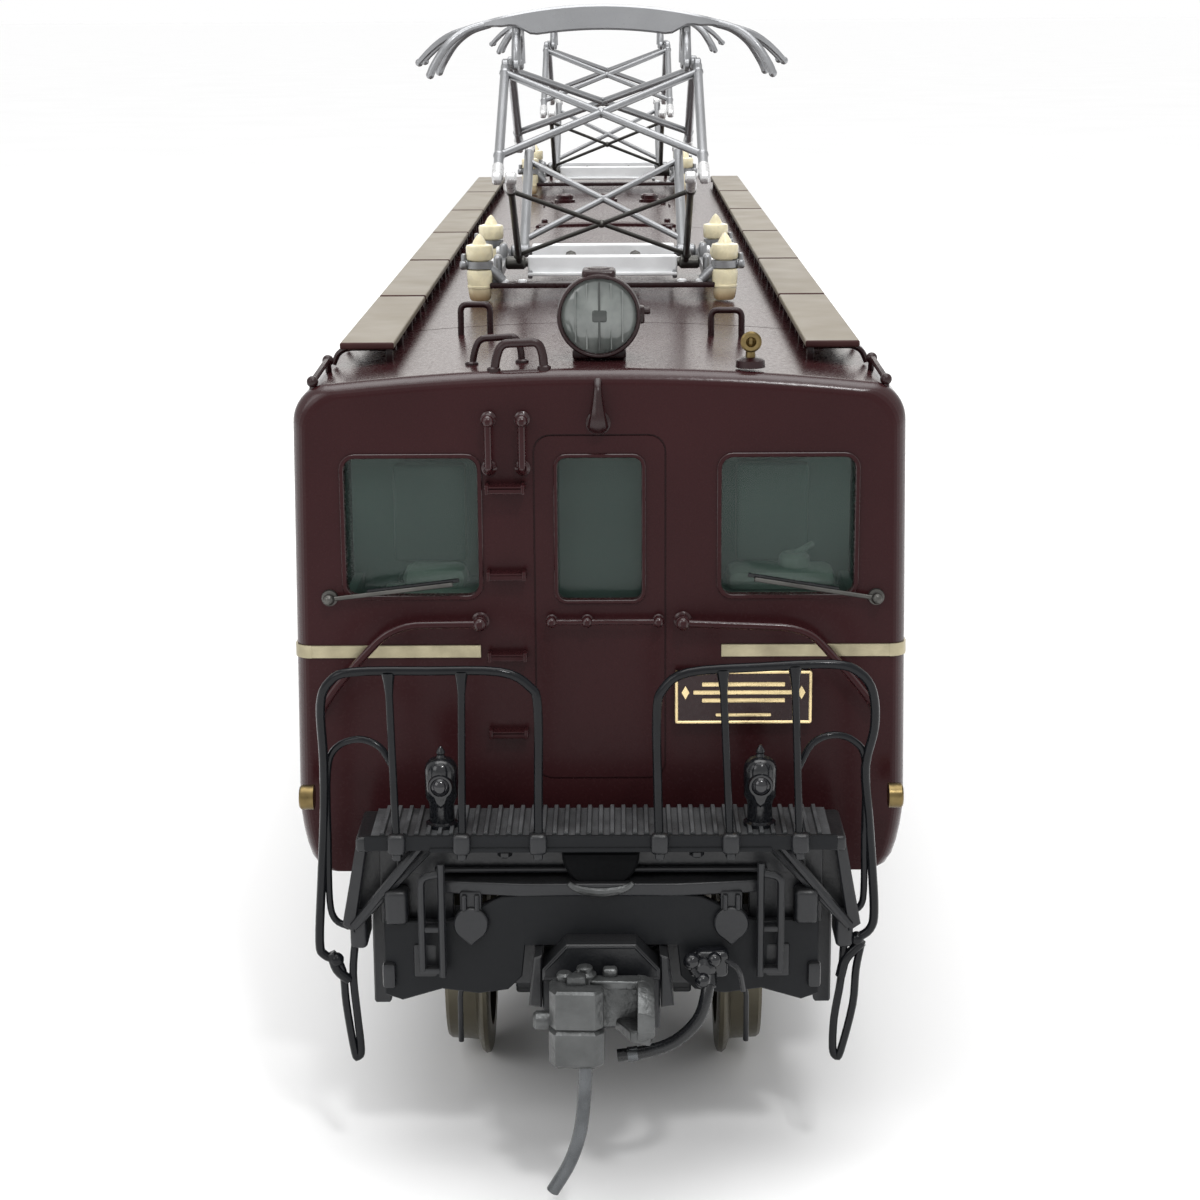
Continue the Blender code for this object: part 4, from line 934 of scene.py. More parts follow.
def make_wipers():
    """A wiper across each cab window, its arm on a pivot boss at the window's outer corner."""
    arms = []
    blades = []
    plane = FACE_Y - 0.5
    for pivot, tip in (((-15.55, 33.4), (-8.2, 34.3)), ((15.85, 33.35), (8.6, 34.55))):
        start, end = Vector((pivot[0], plane, pivot[1])), Vector((tip[0], plane, tip[1]))
        arms.append(turned([(FACE_Y + 0.2, 0.5), (FACE_Y - 0.25, 0.46), (FACE_Y - 0.3, 0.3),
                            (FACE_Y - 0.75, 0.28)], "Y", (pivot[0], 0, pivot[1]), 18))
        arms.append(ball((pivot[0], FACE_Y - 0.6, pivot[1]), 0.34))
        arms.append(rod(start, start.lerp(end, 0.97) + Vector((0, -0.1, 0)), 0.13, 10))
        along = (end - start).normalized()
        first = start.lerp(end, 0.3) + Vector((0, 0.12, 0.16))
        blades.append(rod(first, first + along * (end - start).length * 0.72, 0.13, 8))
    add_piece("wiper_arms", [(arms, "tarnished"), (blades, "rubber")])


def make_number_plate():
    """Raised gilt border with plain bars and two diamonds on a dark ground."""
    low, high = node_box("number_plate")
    front = low.y
    ground = rounded_rectangle(low.x, low.z, high.x, high.z, 0.12, 3)
    back = prism(ground, "Y", front + 0.02, FACE_Y + 0.1)
    rim = frame_ring(ground, 0.17, "Y", front + 0.3, front - 0.04)
    marks = []
    middle_z = (low.z + high.z) / 2 + 0.3
    middle_x = (low.x + high.x) / 2
    for row in (-1, 0, 1):
        z = middle_z + 0.48 * row
        reach = 2.9 - 0.5 * abs(row)
        marks.append(box((middle_x - reach, front - 0.05, z - 0.13),
                         (middle_x + reach, front + 0.2, z + 0.13), 0.05))
    for side in (-1, 1):
        x = middle_x + side * 3.35
        diamond = [(x - 0.22, middle_z), (x, middle_z - 0.4), (x + 0.22, middle_z), (x, middle_z + 0.4)]
        marks.append(prism(diamond, "Y", front - 0.05, front + 0.2))
    marks.append(box((middle_x - 1.6, front - 0.04, low.z + 0.42),
                     (middle_x + 1.6, front + 0.2, low.z + 0.62), 0.04))
    add_piece("number_plate_cab", [(back, "dark_paint"), ([rim] + marks, "gilt")],
              replaces=["number_plate"])


def make_side_buttons():
    """Small brass bolt heads that hold the body, near the lower corners."""
    parts = []
    for side in (-1, 1):
        for y, sunk in ((-98.6, 1.2), (60.0, 0.5)):
            base = skin_x(y, 22.2, -sunk)
            profile = [(side * base, 0.72), (side * (base + 0.72), 0.72), (side * (base + 0.82), 0.62),
                       (side * (base + 0.82), 0.3), (side * (base + 0.88), 0.12)]
            parts.append(turned(profile, "X", (0, y, 22.2), 20))
    add_piece("body_bolts", [(parts, "old_brass")])


# ---- cab interiors ----

def make_cab(name, node, toward):
    """Green cab moulding with a back wall and door, two desks, a brake stand and two seats."""
    low, high = node_box(node)
    wall = high.y if toward < 0 else low.y
    floor = low.z
    greens = []
    pales = []
    covers = []

    def slab(x0, d0, z0, x1, d1, z1, soft=0.1):
        a, b = sorted((wall + toward * d0, wall + toward * d1))
        return box((min(x0, x1), a, z0), (max(x0, x1), b, z1), soft)

    half = high.x
    greens.append(slab(-half, 0.0, floor, half, 0.7, high.z))
    greens.append(slab(-half, 0.0, floor, half, 8.4, floor + 0.8))
    for side in (-1, 1):
        greens.append(slab(side * half, 0.0, floor, side * (half - 0.6), 8.4, 32.6))
    greens.append(slab(-2.6, 0.6, floor + 1, 2.6, 0.95, 40.0, 0.15))
    for x0, x1 in ((-12.6, -8.2), (8.2, 12.6)):
        greens.append(slab(x0, 0.6, 33.5, x1, 1.9, 39.5, 0.3))
    pales.append(slab(5.6, 5.6, floor, 14.2, 8.2, 33.0, 0.35))
    pales.append(slab(7.4, 5.0, 33.0, 13.8, 8.0, 34.3, 0.6))
    pales.append(turned([(33.0, 0.9), (34.9, 0.9), (35.1, 0.7)], "Z", (11.4, wall + toward * 6.6, 0), 20))
    pales.append(rod((11.4, wall + toward * 6.6, 35.0), (12.6, wall + toward * 5.2, 35.3), 0.18, 10))
    pales.append(slab(-12.8, 5.6, floor, -6.8, 8.2, 33.2, 0.35))
    pales.append(slab(-11.6, 5.4, 33.0, -7.8, 7.8, 34.5, 0.7))
    for x in (-10.5, 10.2):
        covers.append(slab(x - 1.9, 2.2, floor + 6.0, x + 1.9, 5.2, floor + 7.4, 0.5))
        covers.append(slab(x - 1.9, 1.7, floor + 7.2, x + 1.9, 2.6, floor + 12.0, 0.4))
        greens.append(slab(x - 0.4, 3.4, floor, x + 0.4, 4.0, floor + 6.2, 0.1))
    parts = [(greens, "green"), (pales, "pale_green"), (covers, "seat")]
    add_piece(name, parts, replaces=[node])


# ---- roof ----

def make_headlight():
    """Round headlight: shell with a rim, cap, foot and side bracket; ribbed lens, seam and bulb."""
    low, high = node_box("headlight_housing")
    front, back = low.y, high.y
    centre = (0, 0, HEADLIGHT_Z)
    shell = ring_shape([(front + 0.05, 2.2), (front + 0.02, 2.36), (front + 0.25, 2.42),
                        (front + 0.62, 2.42), (front + 0.75, 2.34), (front + 1.4, 2.33),
                        (back - 1.9, 2.05), (back - 0.7, 1.4), (back - 0.1, 0.5), (back - 0.3, 0.3),
                        (back - 0.9, 1.1), (front + 1.6, 2.05)], "Y", centre, 48)
    cap = box((-0.98, front + 0.35, 51.05), (0.98, front + 2.4, 51.72), 0.25, 3)
    cap_top = turned([(51.6, 0.8), (51.78, 0.62), (51.82, 0.2)], "Z", (0, front + 1.3, 0), 24)
    foot = box((-1.55, front + 0.8, roof_height(0) + 0.05), (1.55, front + 3.4, 47.1), 0.12)
    legs = [box((side * 1.15 - 0.3, front + 1.0, 46.5), (side * 1.15 + 0.3, front + 3.0, 47.9), 0.1)
            for side in (-1, 1)]
    bracket = box((2.2, front + 0.6, 48.6), (2.62, front + 1.5, 49.6), 0.12)
    screw = rod((2.5, front + 1.0, 49.3), (2.95, front + 1.0, 49.3), 0.2, 12)
    add_piece("headlight_shell", [([shell, cap, cap_top, foot, bracket, screw] + legs, "dark_paint")],
              replaces=["headlight_housing"], bevel=0.04)
    glass = [(front + 0.4, 2.16)]
    glass += [(front + 0.32 - 0.36 * math.cos(math.pi / 2 * r / 2.15), r) for r in (2.0, 1.6, 1.1, 0.5)]
    glass.append((front - 0.05, 0.05))
    lens = turned(glass, "Y", centre, 48)
    ribs = [rod((x, front + 0.1, HEADLIGHT_Z - reach), (x, front + 0.1, HEADLIGHT_Z + reach), 0.05, 6)
            for x, reach in ((-1.35, 1.5), (-0.7, 1.9), (0.7, 1.9), (1.35, 1.5))]
    seam = rod((0.02, front - 0.04, 47.15), (0.02, front - 0.04, 51.1), 0.06, 8)
    bulb = box((-0.42, front - 0.1, 48.75), (0.48, front + 0.25, 49.5), 0.2)
    add_piece("headlight_glass", [([lens] + ribs, "lens"), ([seam, bulb], "bulb")],
              replaces=["headlight_lens"])


def make_whistle():
    """Tarnished whistle: a horn on a stem and a painted foot."""
    low, high = node_box("whistle")
    x, y = (low.x + high.x) / 2, (low.y + high.y) / 2
    base = low.z
    foot = turned([(base - 0.15, 0.85), (base + 0.25, 0.8), (base + 0.42, 0.5)], "Z", (x, y, 0), 24)
    stem = turned([(base + 0.2, 0.3), (base + 0.9, 0.26), (base + 1.0, 0.34), (base + 1.7, 0.3)], "Z",
                  (x, y, 0), 20)
    horn = ring_shape([(y - 0.62, 0.3), (y - 0.62, 0.5), (y - 0.55, 0.6), (y - 0.35, 0.58),
                       (y - 0.15, 0.42), (y + 0.3, 0.38), (y + 0.9, 0.36), (y + 0.9, 0.12),
                       (y - 0.2, 0.12)], "Y", (x, 0, base + 1.35), 28)
    add_piece("brass_whistle", [(foot, "dark_paint"), ([stem, horn], "old_brass")],
              replaces=["whistle"])


def make_walkways():
    """Roof boards on curved brackets, with a bent rail and two knobs ahead of the first board."""
    inner, outer = 12.1, 15.3
    pitch, length = 24.3, 23.6
    for hand, side in (("left", -1), ("right", 1)):
        node = f"{hand}_walkway"
        first = node_box(node)[0].y
        boards = []
        brackets = []
        for index in range(6):
            y0 = first + pitch * index
            x0, x1 = sorted((side * inner, side * outer))
            boards.append(box((x0, y0, 46.8), (x1, y0 + length, 47.22), 0.12, 3))
            for place in (0.06, 0.35, 0.65, 0.94):
                y = y0 + length * place
                route = [(side * inner, y, 46.72), (side * (outer - 0.3), y, 46.72),
                         (side * (outer + 0.25), y, 46.45), (side * (outer + 0.55), y, 45.75)]
                brackets.append(sweep(bent_route(route, 0.4, 4), 0.17, 8))
                brackets.append(box((side * (inner + 0.2), y - 0.2, roof_height(inner) - 0.1),
                                    (side * (inner + 0.6), y + 0.2, 46.8), 0.04))
        x = side * 16.25
        rail = bent_route([(x, -95.2, 44.9), (x, -94.9, 45.75), (x - side * 0.35, -90.6, 46.35),
                           (x - side * 0.35, -90.2, 45.6)], 0.3, 4)
        brackets.append(sweep(rail, 0.19, 10))
        brackets.append(ball((x, -95.0, 45.75), 0.34))
        brackets.append(ball((x - side * 0.35, -90.4, 46.3), 0.34))
        add_piece(f"{hand}_roof_walk", [(boards, "walk"), (brackets, "dark_paint")],
                  replaces=[node])


def make_roof_grabs():
    """Bent-wire grab irons near the headlight and four small handles further back."""
    parts = []
    rise = 1.5
    for x0, x1, y, wire in ((-5.95, -3.1, -95.1, 0.25), (-7.35, -4.45, -92.4, 0.2)):
        foot0, foot1 = roof_height(x0), roof_height(x1)
        line = [(x0, y, foot0 - 0.3), (x0 + 0.15, y, foot0 + rise * 0.5), (x0 + 0.45, y, foot0 + rise),
                (x1 - 0.3, y, foot1 + rise), (x1 - 0.05, y, foot1 + rise * 0.5), (x1, y, foot1 - 0.3)]
        parts.append(sweep(bent_route(line, 0.5, 5), wire, 12))
        for x, foot in ((x0, foot0), (x1, foot1)):
            parts.append(turned([(foot - 0.2, 0.4), (foot + 0.12, 0.38), (foot + 0.2, 0.27)], "Z",
                                (x, y, 0), 14))
    for x0, x1, y, rise in ((-8.85, -7.0, -78.5, 1.9), (6.9, 8.8, -80.5, 1.6), (-8.8, -7.0, 66.0, 1.6),
                            (7.0, 8.8, 66.0, 1.6)):
        foot = roof_height(x0)
        line = [(x0, y, foot - 0.3), (x0, y, foot + rise), (x1, y, foot + rise), (x1, y, foot - 0.3)]
        parts.append(sweep(bent_route(line, 0.45, 5), 0.2, 12))
    add_piece("roof_grab_irons", [(parts, "dark_paint")])


def make_roof_hatches():
    """Two low roof hatches and a row of small covers between the pantographs."""
    parts = []
    for y0, y1, half in ((-30.0, -8.0, 6.6), (-3.0, 21.0, 6.6)):
        top = roof_height(0) + 0.35
        rings = []
        for y, lift, reach in ((y0, -0.2, half), (y0 + 0.05, 0.18, half), (y0 + 0.4, 0.35, half - 0.3),
                               (y1 - 0.4, 0.35, half - 0.3), (y1 - 0.05, 0.18, half), (y1, -0.2, half)):
            line = [(reach * step / 8, y, roof_height(reach * step / 8) + lift) for step in range(-8, 9)]
            under = [(x, y, z - 0.6) for x, _, z in reversed(line)]
            rings.append(line + under)
        parts.append(loft(rings))
        for x in (-half + 0.8, half - 0.8):
            for y in (y0 + 1.2, y1 - 1.2):
                parts.append(turned([(top - 0.3, 0.3), (top + 0.12, 0.3), (top + 0.2, 0.2)], "Z",
                                    (x, y, 0), 12))
    for x in (-4.5, 0.0, 4.5):
        base = roof_height(x)
        parts.append(turned([(base - 0.2, 1.1), (base + 0.25, 1.1), (base + 0.35, 0.9), (base + 0.7, 0.9),
                             (base + 0.85, 0.7)], "Z", (x, 27.0, 0), 24))
    add_piece("roof_hatches", [(parts, "paint")])


# ---- pantographs ----

PANTO_REAR_Y = -53.0
PANTO_NOSE_Y = 48.0
PANTO_FOOT = 4.4
HEAD_CROWN = 66.55


def make_insulators(end):
    """Two-bell cream insulators, their pointed caps standing over the cross beams."""
    groove = 48.85
    for number in range(1, 5):
        node = f"{end}_insulator_{number}"
        low, high = node_box(node)
        centre = ((low.x + high.x) / 2, (low.y + high.y) / 2, 0)
        foot, tip = low.z - 0.2, high.z
        bells = [(foot, 0.62), (foot + 0.15, 0.74), (foot + 0.6, 0.82), (groove - 0.6, 0.93),
                 (groove - 0.36, 0.88), (groove - 0.28, 0.62), (groove + 0.28, 0.62),
                 (groove + 0.34, 0.86), (groove + 0.45, 0.93), (tip - 0.95, 0.96), (tip - 0.8, 0.9),
                 (tip - 0.7, 0.5), (tip - 0.5, 0.42), (tip - 0.2, 0.24), (tip - 0.03, 0.08), (tip, 0.02)]
        collar = [(foot + 0.85, 0.8), (foot + 0.9, 0.89), (foot + 1.05, 0.9), (foot + 1.1, 0.82)]
        shapes = [turned(bells, "Z", centre, 32), turned(collar, "Z", centre, 28)]
        add_piece(f"{node}_ceramic", [(shapes, "porcelain")], replaces=[node])


def make_panto_base(end, centre_y):
    """Base frame: cross beams, side rails, bright bars over the shafts, bearings and springs."""
    beam_low = node_box(f"{end}_panto_base")[0].z
    dark, metal, bright, springs = [], [], [], []
    for along in (-1, 1):
        y = centre_y + along * 8.0
        dark.append(box((-7.9, y - 0.6, beam_low + 0.02), (7.9, y + 0.6, beam_low + 0.4), 0.1))
        foot = centre_y + along * PANTO_FOOT
        # The bars over the shafts are silver lightened to near white, a painted highlight on a real silver
        # bar.
        bright.append(box((-5.35, foot - 0.42, 47.75), (5.35, foot + 0.42, 49.12), 0.16, 3))
        bright.append(box((-5.35, foot - 0.75, 47.7), (5.35, foot + 0.75, 47.95), 0.08))
        for side in (-1, 1):
            arm = [(side * x, y, z) for x, z in ((7.0, 47.7), (7.8, 48.5), (8.5, 48.85), (9.7, 48.85))]
            metal.append(sweep(bent_route(arm, 0.4, 3), 0.36, 12))
            metal.append(ring_shape([(48.6, 0.5), (48.6, 0.92), (49.1, 0.92), (49.1, 0.5)], "Z",
                                    (side * 8.6, y, 0), 24))
            metal.append(box((side * 9.45, y - 0.42, 48.5), (side * 10.0, y + 0.42, 49.15), 0.2, 3))
            metal.append(rod((side * 9.7, y, 49.1), (side * 9.7, y, 49.6), 0.2, 10))
            for x in (5.6, 6.9):
                nut = [(beam_low + 0.3, 0.32), (beam_low + 0.55, 0.32), (beam_low + 0.6, 0.2)]
                bright.append(turned(nut, "Z", (side * x, y, 0), 6))
            metal.append(box((side * 7.2, foot - 0.7, beam_low + 0.3),
                             (side * 7.8, foot + 0.7, 49.2), 0.28, 3))
            bright.append(rod((side * 7.7, foot, 48.6), (side * 8.05, foot, 48.6), 0.33, 16))
    for side in (-1, 1):
        metal.append(box((side * 7.2, centre_y - 8.0, beam_low + 0.15),
                         (side * 7.8, centre_y + 8.0, 48.15), 0.12))
        metal.append(box((side * 5.0, centre_y - 5.0, 47.5), (side * 5.35, centre_y + 5.0, 48.1), 0.1))
        x, z = side * 2.4, 48.3
        springs.append(coil("Y", (x, z), 0.36, centre_y - 3.2, 6.4, 16, 8, 0.1, 6))
        springs.append(rod((x, centre_y - 4.2, z), (x, centre_y + 4.2, z), 0.16, 8))
    add_piece(f"{end}_panto_base_frame", [(metal, "silver"), (bright, "silver_with_painted_highlight"),
                                          (springs, "tarnished"), (dark, "dark_paint")],
              replaces=[f"{end}_panto_base"])


LOWER_ARM_X = 5.95
UPPER_ARM_X = 6.75
HEAD_EYE_X = 6.0
HEAD_HALF = 13.0
STRIP_Y = 3.3
CROWN_FALL = 0.0157
HORN_START = 10.3
HORN_BEND = 0.14
FLARE_START = 8.0


def arm_points(half_width, foot, top):
    def at(side, along):
        place = foot.lerp(top, along)
        return Vector((side * half_width, place.y, place.z))
    return at


def make_lower_arms(node, tube, foot, elbow):
    """Two arms on a foot shaft, with crossed braces and silver sleeves and hubs at the elbows."""
    at = arm_points(LOWER_ARM_X, foot, elbow)
    radius, brace = (0.24, 0.16) if tube == "tarnished" else (0.38, 0.24)
    tubes, bright = [], []
    for side in (-1, 1):
        tubes.append(rod(at(side, 0.0), at(side, 0.95), radius, 16))
        tubes.append(rod(at(side, 0.1), at(-side, 0.86), brace, 10))
        tubes.append(rod((side * 5.5, foot.y, foot.z), (side * 6.95, foot.y, foot.z), 0.47, 18))
        tubes += [ball(at(side, spot), 0.38, 12) for spot in (0.1, 0.86)]
        bright.append(rod(at(side, 0.88), at(side, 0.995), 0.36, 16))
        bright.append(rod((side * 5.5, elbow.y, elbow.z), (side * 6.25, elbow.y, elbow.z), 0.42, 20))
    tubes.append(rod((-6.9, foot.y, foot.z), (6.9, foot.y, foot.z), 0.3, 14))
    tubes.append(ball(at(1, 0.48).lerp(at(-1, 0.48), 0.5), 0.3, 12))
    add_piece(f"{node}_frame", [(tubes, tube), (bright, "elbow_paint")],
              body=node, replaces=[node])


def make_upper_arms(node, elbow, top):
    """Two arms outside the lower ones, with stout crossed braces, elbow brackets and top hubs."""
    at = arm_points(UPPER_ARM_X, elbow, top)
    tubes, bright = [], []
    for side in (-1, 1):
        tubes.append(rod(at(side, 0.02), at(side, 1.0), 0.33, 16))
        tubes.append(rod(at(side, 0.19), at(-side, 0.93), 0.27, 12))
        half_hub = Vector((side * 0.25, 0, 0))
        tubes.append(rod(at(side, 1.0) - half_hub, at(side, 1.0) + half_hub, 0.5, 18))
        tubes += [ball(at(side, spot), 0.4, 12) for spot in (0.19, 0.93)]
        bright.append(rod((side * 6.48, elbow.y, elbow.z), (side * 7.1, elbow.y, elbow.z), 0.42, 20))
        bright.append(rod(at(side, 0.0), at(side, 0.1), 0.4, 14))
    tubes.append(ball(at(1, 0.56).lerp(at(-1, 0.56), 0.5), 0.36, 12))
    add_piece(f"{node}_frame", [(tubes, "silver"), (bright, "elbow_paint")],
              body=node, replaces=[node])


def make_panto_arms(end, centre_y):
    head_pivot = joint_place(f"{end}_panto_head_level").z
    foot_z = joint_place(f"{end}_panto_raise").z
    for place, along in (("front", -1), ("back", 1)):
        foot_y = centre_y + along * PANTO_FOOT
        elbow = joint_place(f"{end}_panto_upper_{place}_turn")
        elbow.x = 0
        tube = "tarnished" if place == "front" else "silver"
        make_lower_arms(f"{end}_panto_lower_{place}", tube, Vector((0, foot_y, foot_z)), elbow)
        make_upper_arms(f"{end}_panto_upper_{place}", elbow, Vector((0, foot_y, head_pivot)))


def head_height(x):
    """Top of a collector strip: a low crown that bends down into the horns."""
    return HEAD_CROWN - CROWN_FALL * x * x - HORN_BEND * max(0.0, abs(x) - HORN_START) ** 2


def head_flare(x):
    """How far a strip's upper horns stand closer to the middle of the head."""
    return 0.1 * max(0.0, abs(x) - FLARE_START) ** 1.2


def eased(value, low, high):
    share = max(0.0, min(1.0, (value - low) / (high - low)))
    return share * share * (3 - 2 * share)


def collector_strip(y, along):
    """One crowned strip: a deep pan in the middle that narrows into its upper horns."""
    rings = []
    count = 52
    for step in range(count + 1):
        x = HEAD_HALF * (2 * step / count - 1)
        z = head_height(x)
        slim = eased(abs(x), 6.7, 8.0)
        half = 0.7 - 0.4 * slim
        deep = 1.75 - 0.95 * eased(abs(x), 4.6, 6.4) - 0.25 * slim
        middle = y - along * head_flare(x)
        soft = 0.14
        rings.append([(x, middle - half, z - deep + soft), (x, middle - half + soft, z - deep),
                      (x, middle + half - soft, z - deep), (x, middle + half, z - deep + soft),
                      (x, middle + half, z - soft), (x, middle + half - soft, z),
                      (x, middle - half + soft, z), (x, middle - half, z - soft)])
    return loft(rings)


def make_panto_head(end, centre_y):
    """Collector head: two strips with rubbed tops and paired horns, on posts and side bars."""
    node = f"{end}_panto_head"
    pivot_z = joint_place(f"{end}_panto_head_level").z
    strips = []
    wear = []
    fittings = []
    for along in (-1, 1):
        y = centre_y + along * STRIP_Y
        strips.append(collector_strip(y, along))
        end_y = y - along * head_flare(HEAD_HALF)
        strips += [ball((side * (HEAD_HALF - 0.05), end_y, head_height(HEAD_HALF) - 0.27), 0.29, 12)
                   for side in (-1, 1)]
        rings = []
        for step in range(25):
            x = -6.3 + 12.6 * step / 24
            z = head_height(x)
            rings.append([(x, y - 0.42, z - 0.1), (x, y + 0.42, z - 0.1), (x, y + 0.36, z + 0.015),
                          (x, y - 0.36, z + 0.015)])
        wear.append(loft(rings))
        for side in (-1, 1):
            horn = [(side * x, y + along * out, head_height(x) - drop)
                    for x, out, drop in ((8.2, 0.0, 0.28), (9.6, 0.3, 0.35), (10.8, 0.9, 0.85),
                                         (11.7, 1.2, 1.6), (12.05, 1.25, 2.05))]
            fittings.append(sweep(smooth_route(horn, 5), 0.29, 12))
            fittings.append(ball(horn[-1], 0.3, 12))
    for side in (-1, 1):
        x = side * HEAD_EYE_X
        fittings.append(box((x - 0.2, centre_y - STRIP_Y - 0.4, 64.35),
                            (x + 0.2, centre_y + STRIP_Y + 0.4, 65.0), 0.1))
        for along in (-1, 1):
            y = centre_y + along * PANTO_FOOT
            top_y = centre_y + along * STRIP_Y
            post = [(x, y, pivot_z), (x, y - along * 0.2, pivot_z + 1.1), (x, top_y + along * 0.1, 64.6),
                    (x, top_y, 65.8)]
            fittings.append(sweep(smooth_route(post, 4), [0.34 - 0.004 * step for step in range(13)], 12))
            fittings.append(rod((x - 0.22, y, pivot_z), (x + 0.22, y, pivot_z), 0.48, 18))
    add_piece(f"{node}_frame", [(strips, "silver"), (wear, "chrome"),
                                (fittings, "silver")],
              body=node, replaces=[node])


# ---- end deck, railings, lamps and pilots ----

def make_deck():
    """Ribbed footplate behind a front beam, with post clips, corner struts, braces and a dished lip."""
    front, back = -102.7, -97.9
    under, top, rib = 20.9, 21.25, 21.45
    half = 12.9
    pitch = 0.645
    outline = [(-half, under), (-half, top)]
    for index in range(1, 40):
        x = -half + pitch * index
        outline += [(x - 0.16, top), (x - 0.1, rib), (x + 0.1, rib), (x + 0.16, top)]
    outline += [(half, top), (half, under)]
    plate = prism(outline, "Y", front, back)
    parts = []
    parts.append(box((-13.25, -103.0, 20.45), (13.25, front + 0.05, 21.32), 0.1))
    parts.append(box((-9.6, -103.12, 20.38), (9.6, -102.8, 20.66), 0.09))
    parts.append(box((-11.6, -101.6, 18.6), (11.6, -100.5, under + 0.1), 0.12))
    for x in (-11.42, -7.77, -3.5, 3.3, 7.28, 11.15):
        parts.append(box((x - 0.5, -103.42, 20.3), (x + 0.5, -102.7, 21.5), 0.24, 3))
        parts.append(box((x - 0.26, -103.3, 19.95), (x + 0.26, -102.9, 20.5), 0.14))
    for side in (-1, 1):
        parts.append(box((side * 12.7, -102.8, 20.3), (side * 13.75, -98.0, 21.2), 0.22, 3))
        strut = [(13.1, 20.9), (13.75, 20.9), (14.75, 15.6), (14.05, 15.1)]
        gusset = [(10.6, 20.5), (13.3, 20.7), (14.1, 15.9), (13.2, 16.2)]
        for corners, near, far, soft in ((strut, -101.9, -101.3, 0.1), (strut, -99.4, -98.9, 0.1),
                                         (gusset, -100.6, -100.2, 0.08)):
            parts.append(prism([(side * x, z) for x, z in corners], "Y", near, far, soft))
        for foot, y in ((10.2, -102.35), (9.45, -101.9)):
            parts.append(sweep([(side * foot, y, 20.5), (side * 14.1, -101.9, 15.55)], 0.27, 8))
        parts.append(box((side * 13.35, -101.8, 14.1), (side * 14.35, -98.9, 16.1), 0.3, 3))
        for y in (-102.3, -100.2):
            parts.append(turned([(20.3, 0.3), (20.2, 0.42), (19.95, 0.42), (19.85, 0.25)], "Z",
                                (side * 5.4, y, 0), 6))
        parts.append(rod((side * 3.9, -101.0, 18.2), (side * 3.9, -101.0, 20.4), 0.22, 10))
    parts.append(rod((-9.4, -101.9, 18.95), (9.4, -101.9, 18.95), 0.17, 10))
    # The dished recess is a solid block coloured near black: painted shade in place of a real hollow.
    cup = [(2.2 * math.cos(t), 20.2 + 2.3 * math.sin(t)) for t in
           [math.pi + math.pi * step / 16 for step in range(17)]]
    recess = prism(cup, "Y", -102.6, -101.2, 0.15)
    lip = [(1.85 * math.sin(t), -103.0, 18.72 - 0.72 * math.cos(t)) for t in
           [-1.35 + 2.7 * step / 14 for step in range(15)]]
    lip = sweep(lip, [0.13 + 0.14 * math.sin(math.pi * step / 14) for step in range(15)], 10)
    add_piece("rear_footplate", [(plate, "deck"), (parts[:2], "pilot"), (parts[2:], "black"),
                                 (recess, "painted_shade_recess"), (lip, "cast")],
              body="rear_truck", replaces=["rear_deck"])


def folded(shape, fold=4.4, edge=12.4, back=1.0):
    """Bend a flat plate back on both sides of its middle facet."""
    for side in (-1, 1):
        everything = list(shape.verts) + list(shape.edges) + list(shape.faces)
        bmesh.ops.bisect_plane(shape, geom=everything, plane_co=(side * fold, 0, 0),
                               plane_no=(1, 0, 0), dist=1e-4)
    for vert in shape.verts:
        vert.co.y += back * max(0.0, abs(vert.co.x) - fold) / (edge - fold)
    return finish_shape(shape)


def make_rear_pilot():
    """Three-facet plate with a shaped lower edge, its top flange, two discs and two strap hangers."""
    front = -102.9
    half = [(0.0, 17.85), (4.3, 17.85), (5.6, 17.62), (6.7, 17.05), (7.6, 16.3), (8.9, 15.95),
            (12.35, 15.9), (12.4, 11.4), (11.4, 11.1), (9.1, 11.9), (7.0, 11.72), (5.3, 12.05),
            (4.5, 12.9), (4.3, 14.75), (0.0, 14.75)]
    outline = half + [(-x, z) for x, z in reversed(half[1:-1])]
    plate = folded(prism(outline, "Y", front, front + 0.6, 0.06))
    flange = folded(box((-9.0, front - 0.1, 17.72), (9.0, front + 1.9, 18.5), 0.14, 3))
    parts = [flange]
    for side in (-1, 1):
        x, z = side * 7.35, 16.05
        drop = [(x + 0.98 * math.cos(t), z + 0.98 * math.sin(t)) for t in
                [math.radians(-60 + 300 * step / 24) for step in range(25)]]
        drop.append((x, z - 1.27))
        parts.append(prism(drop, "Y", -103.0, -102.35, 0.07))
        parts.append(box((x - 0.62, -102.8, 16.6), (x + 0.62, -102.1, 17.95), 0.14))
        for lug in (-0.36, 0.36):
            parts.append(rod((x + lug, -102.95, 16.9), (x + lug, -102.95, 17.8), 0.15, 8))
        strap = [(side * 8.98, -103.0, 12.95), (side * 8.98, -103.05, 16.0), (side * 8.98, -103.0, 19.7)]
        parts.append(sweep(strap, 0.22, 10))
        hanger = [(side * 10.12, -102.95, 13.3), (side * 10.12, -103.0, 18.9), (side * 9.2, -102.9, 19.05)]
        parts.append(sweep(bent_route(hanger, 0.5, 5), 0.22, 10))
        for low_z in (13.1, 15.6):
            parts.append(box((side * 8.9, -103.1, low_z), (side * 10.25, -102.5, low_z + 0.35), 0.1))
        parts.append(box((side * 10.9, -102.55, 15.8), (side * 12.3, -101.2, 17.9), 0.35, 3))
        parts.append(box((side * 9.3, -102.3, 12.6), (side * 10.7, -99.0, 14.6), 0.15))
        parts.append(box((side * 11.75, -102.35, 11.9), (side * 12.5, -101.6, 13.4), 0.2))
        parts.append(box((side * 8.4, -101.2, 15.5), (side * 12.6, -100.75, 20.2), 0.1))
    add_piece("rear_pilot_plate", [(plate, "pilot"), (parts, "black")], body="rear_truck",
              replaces=["rear_pilot"])


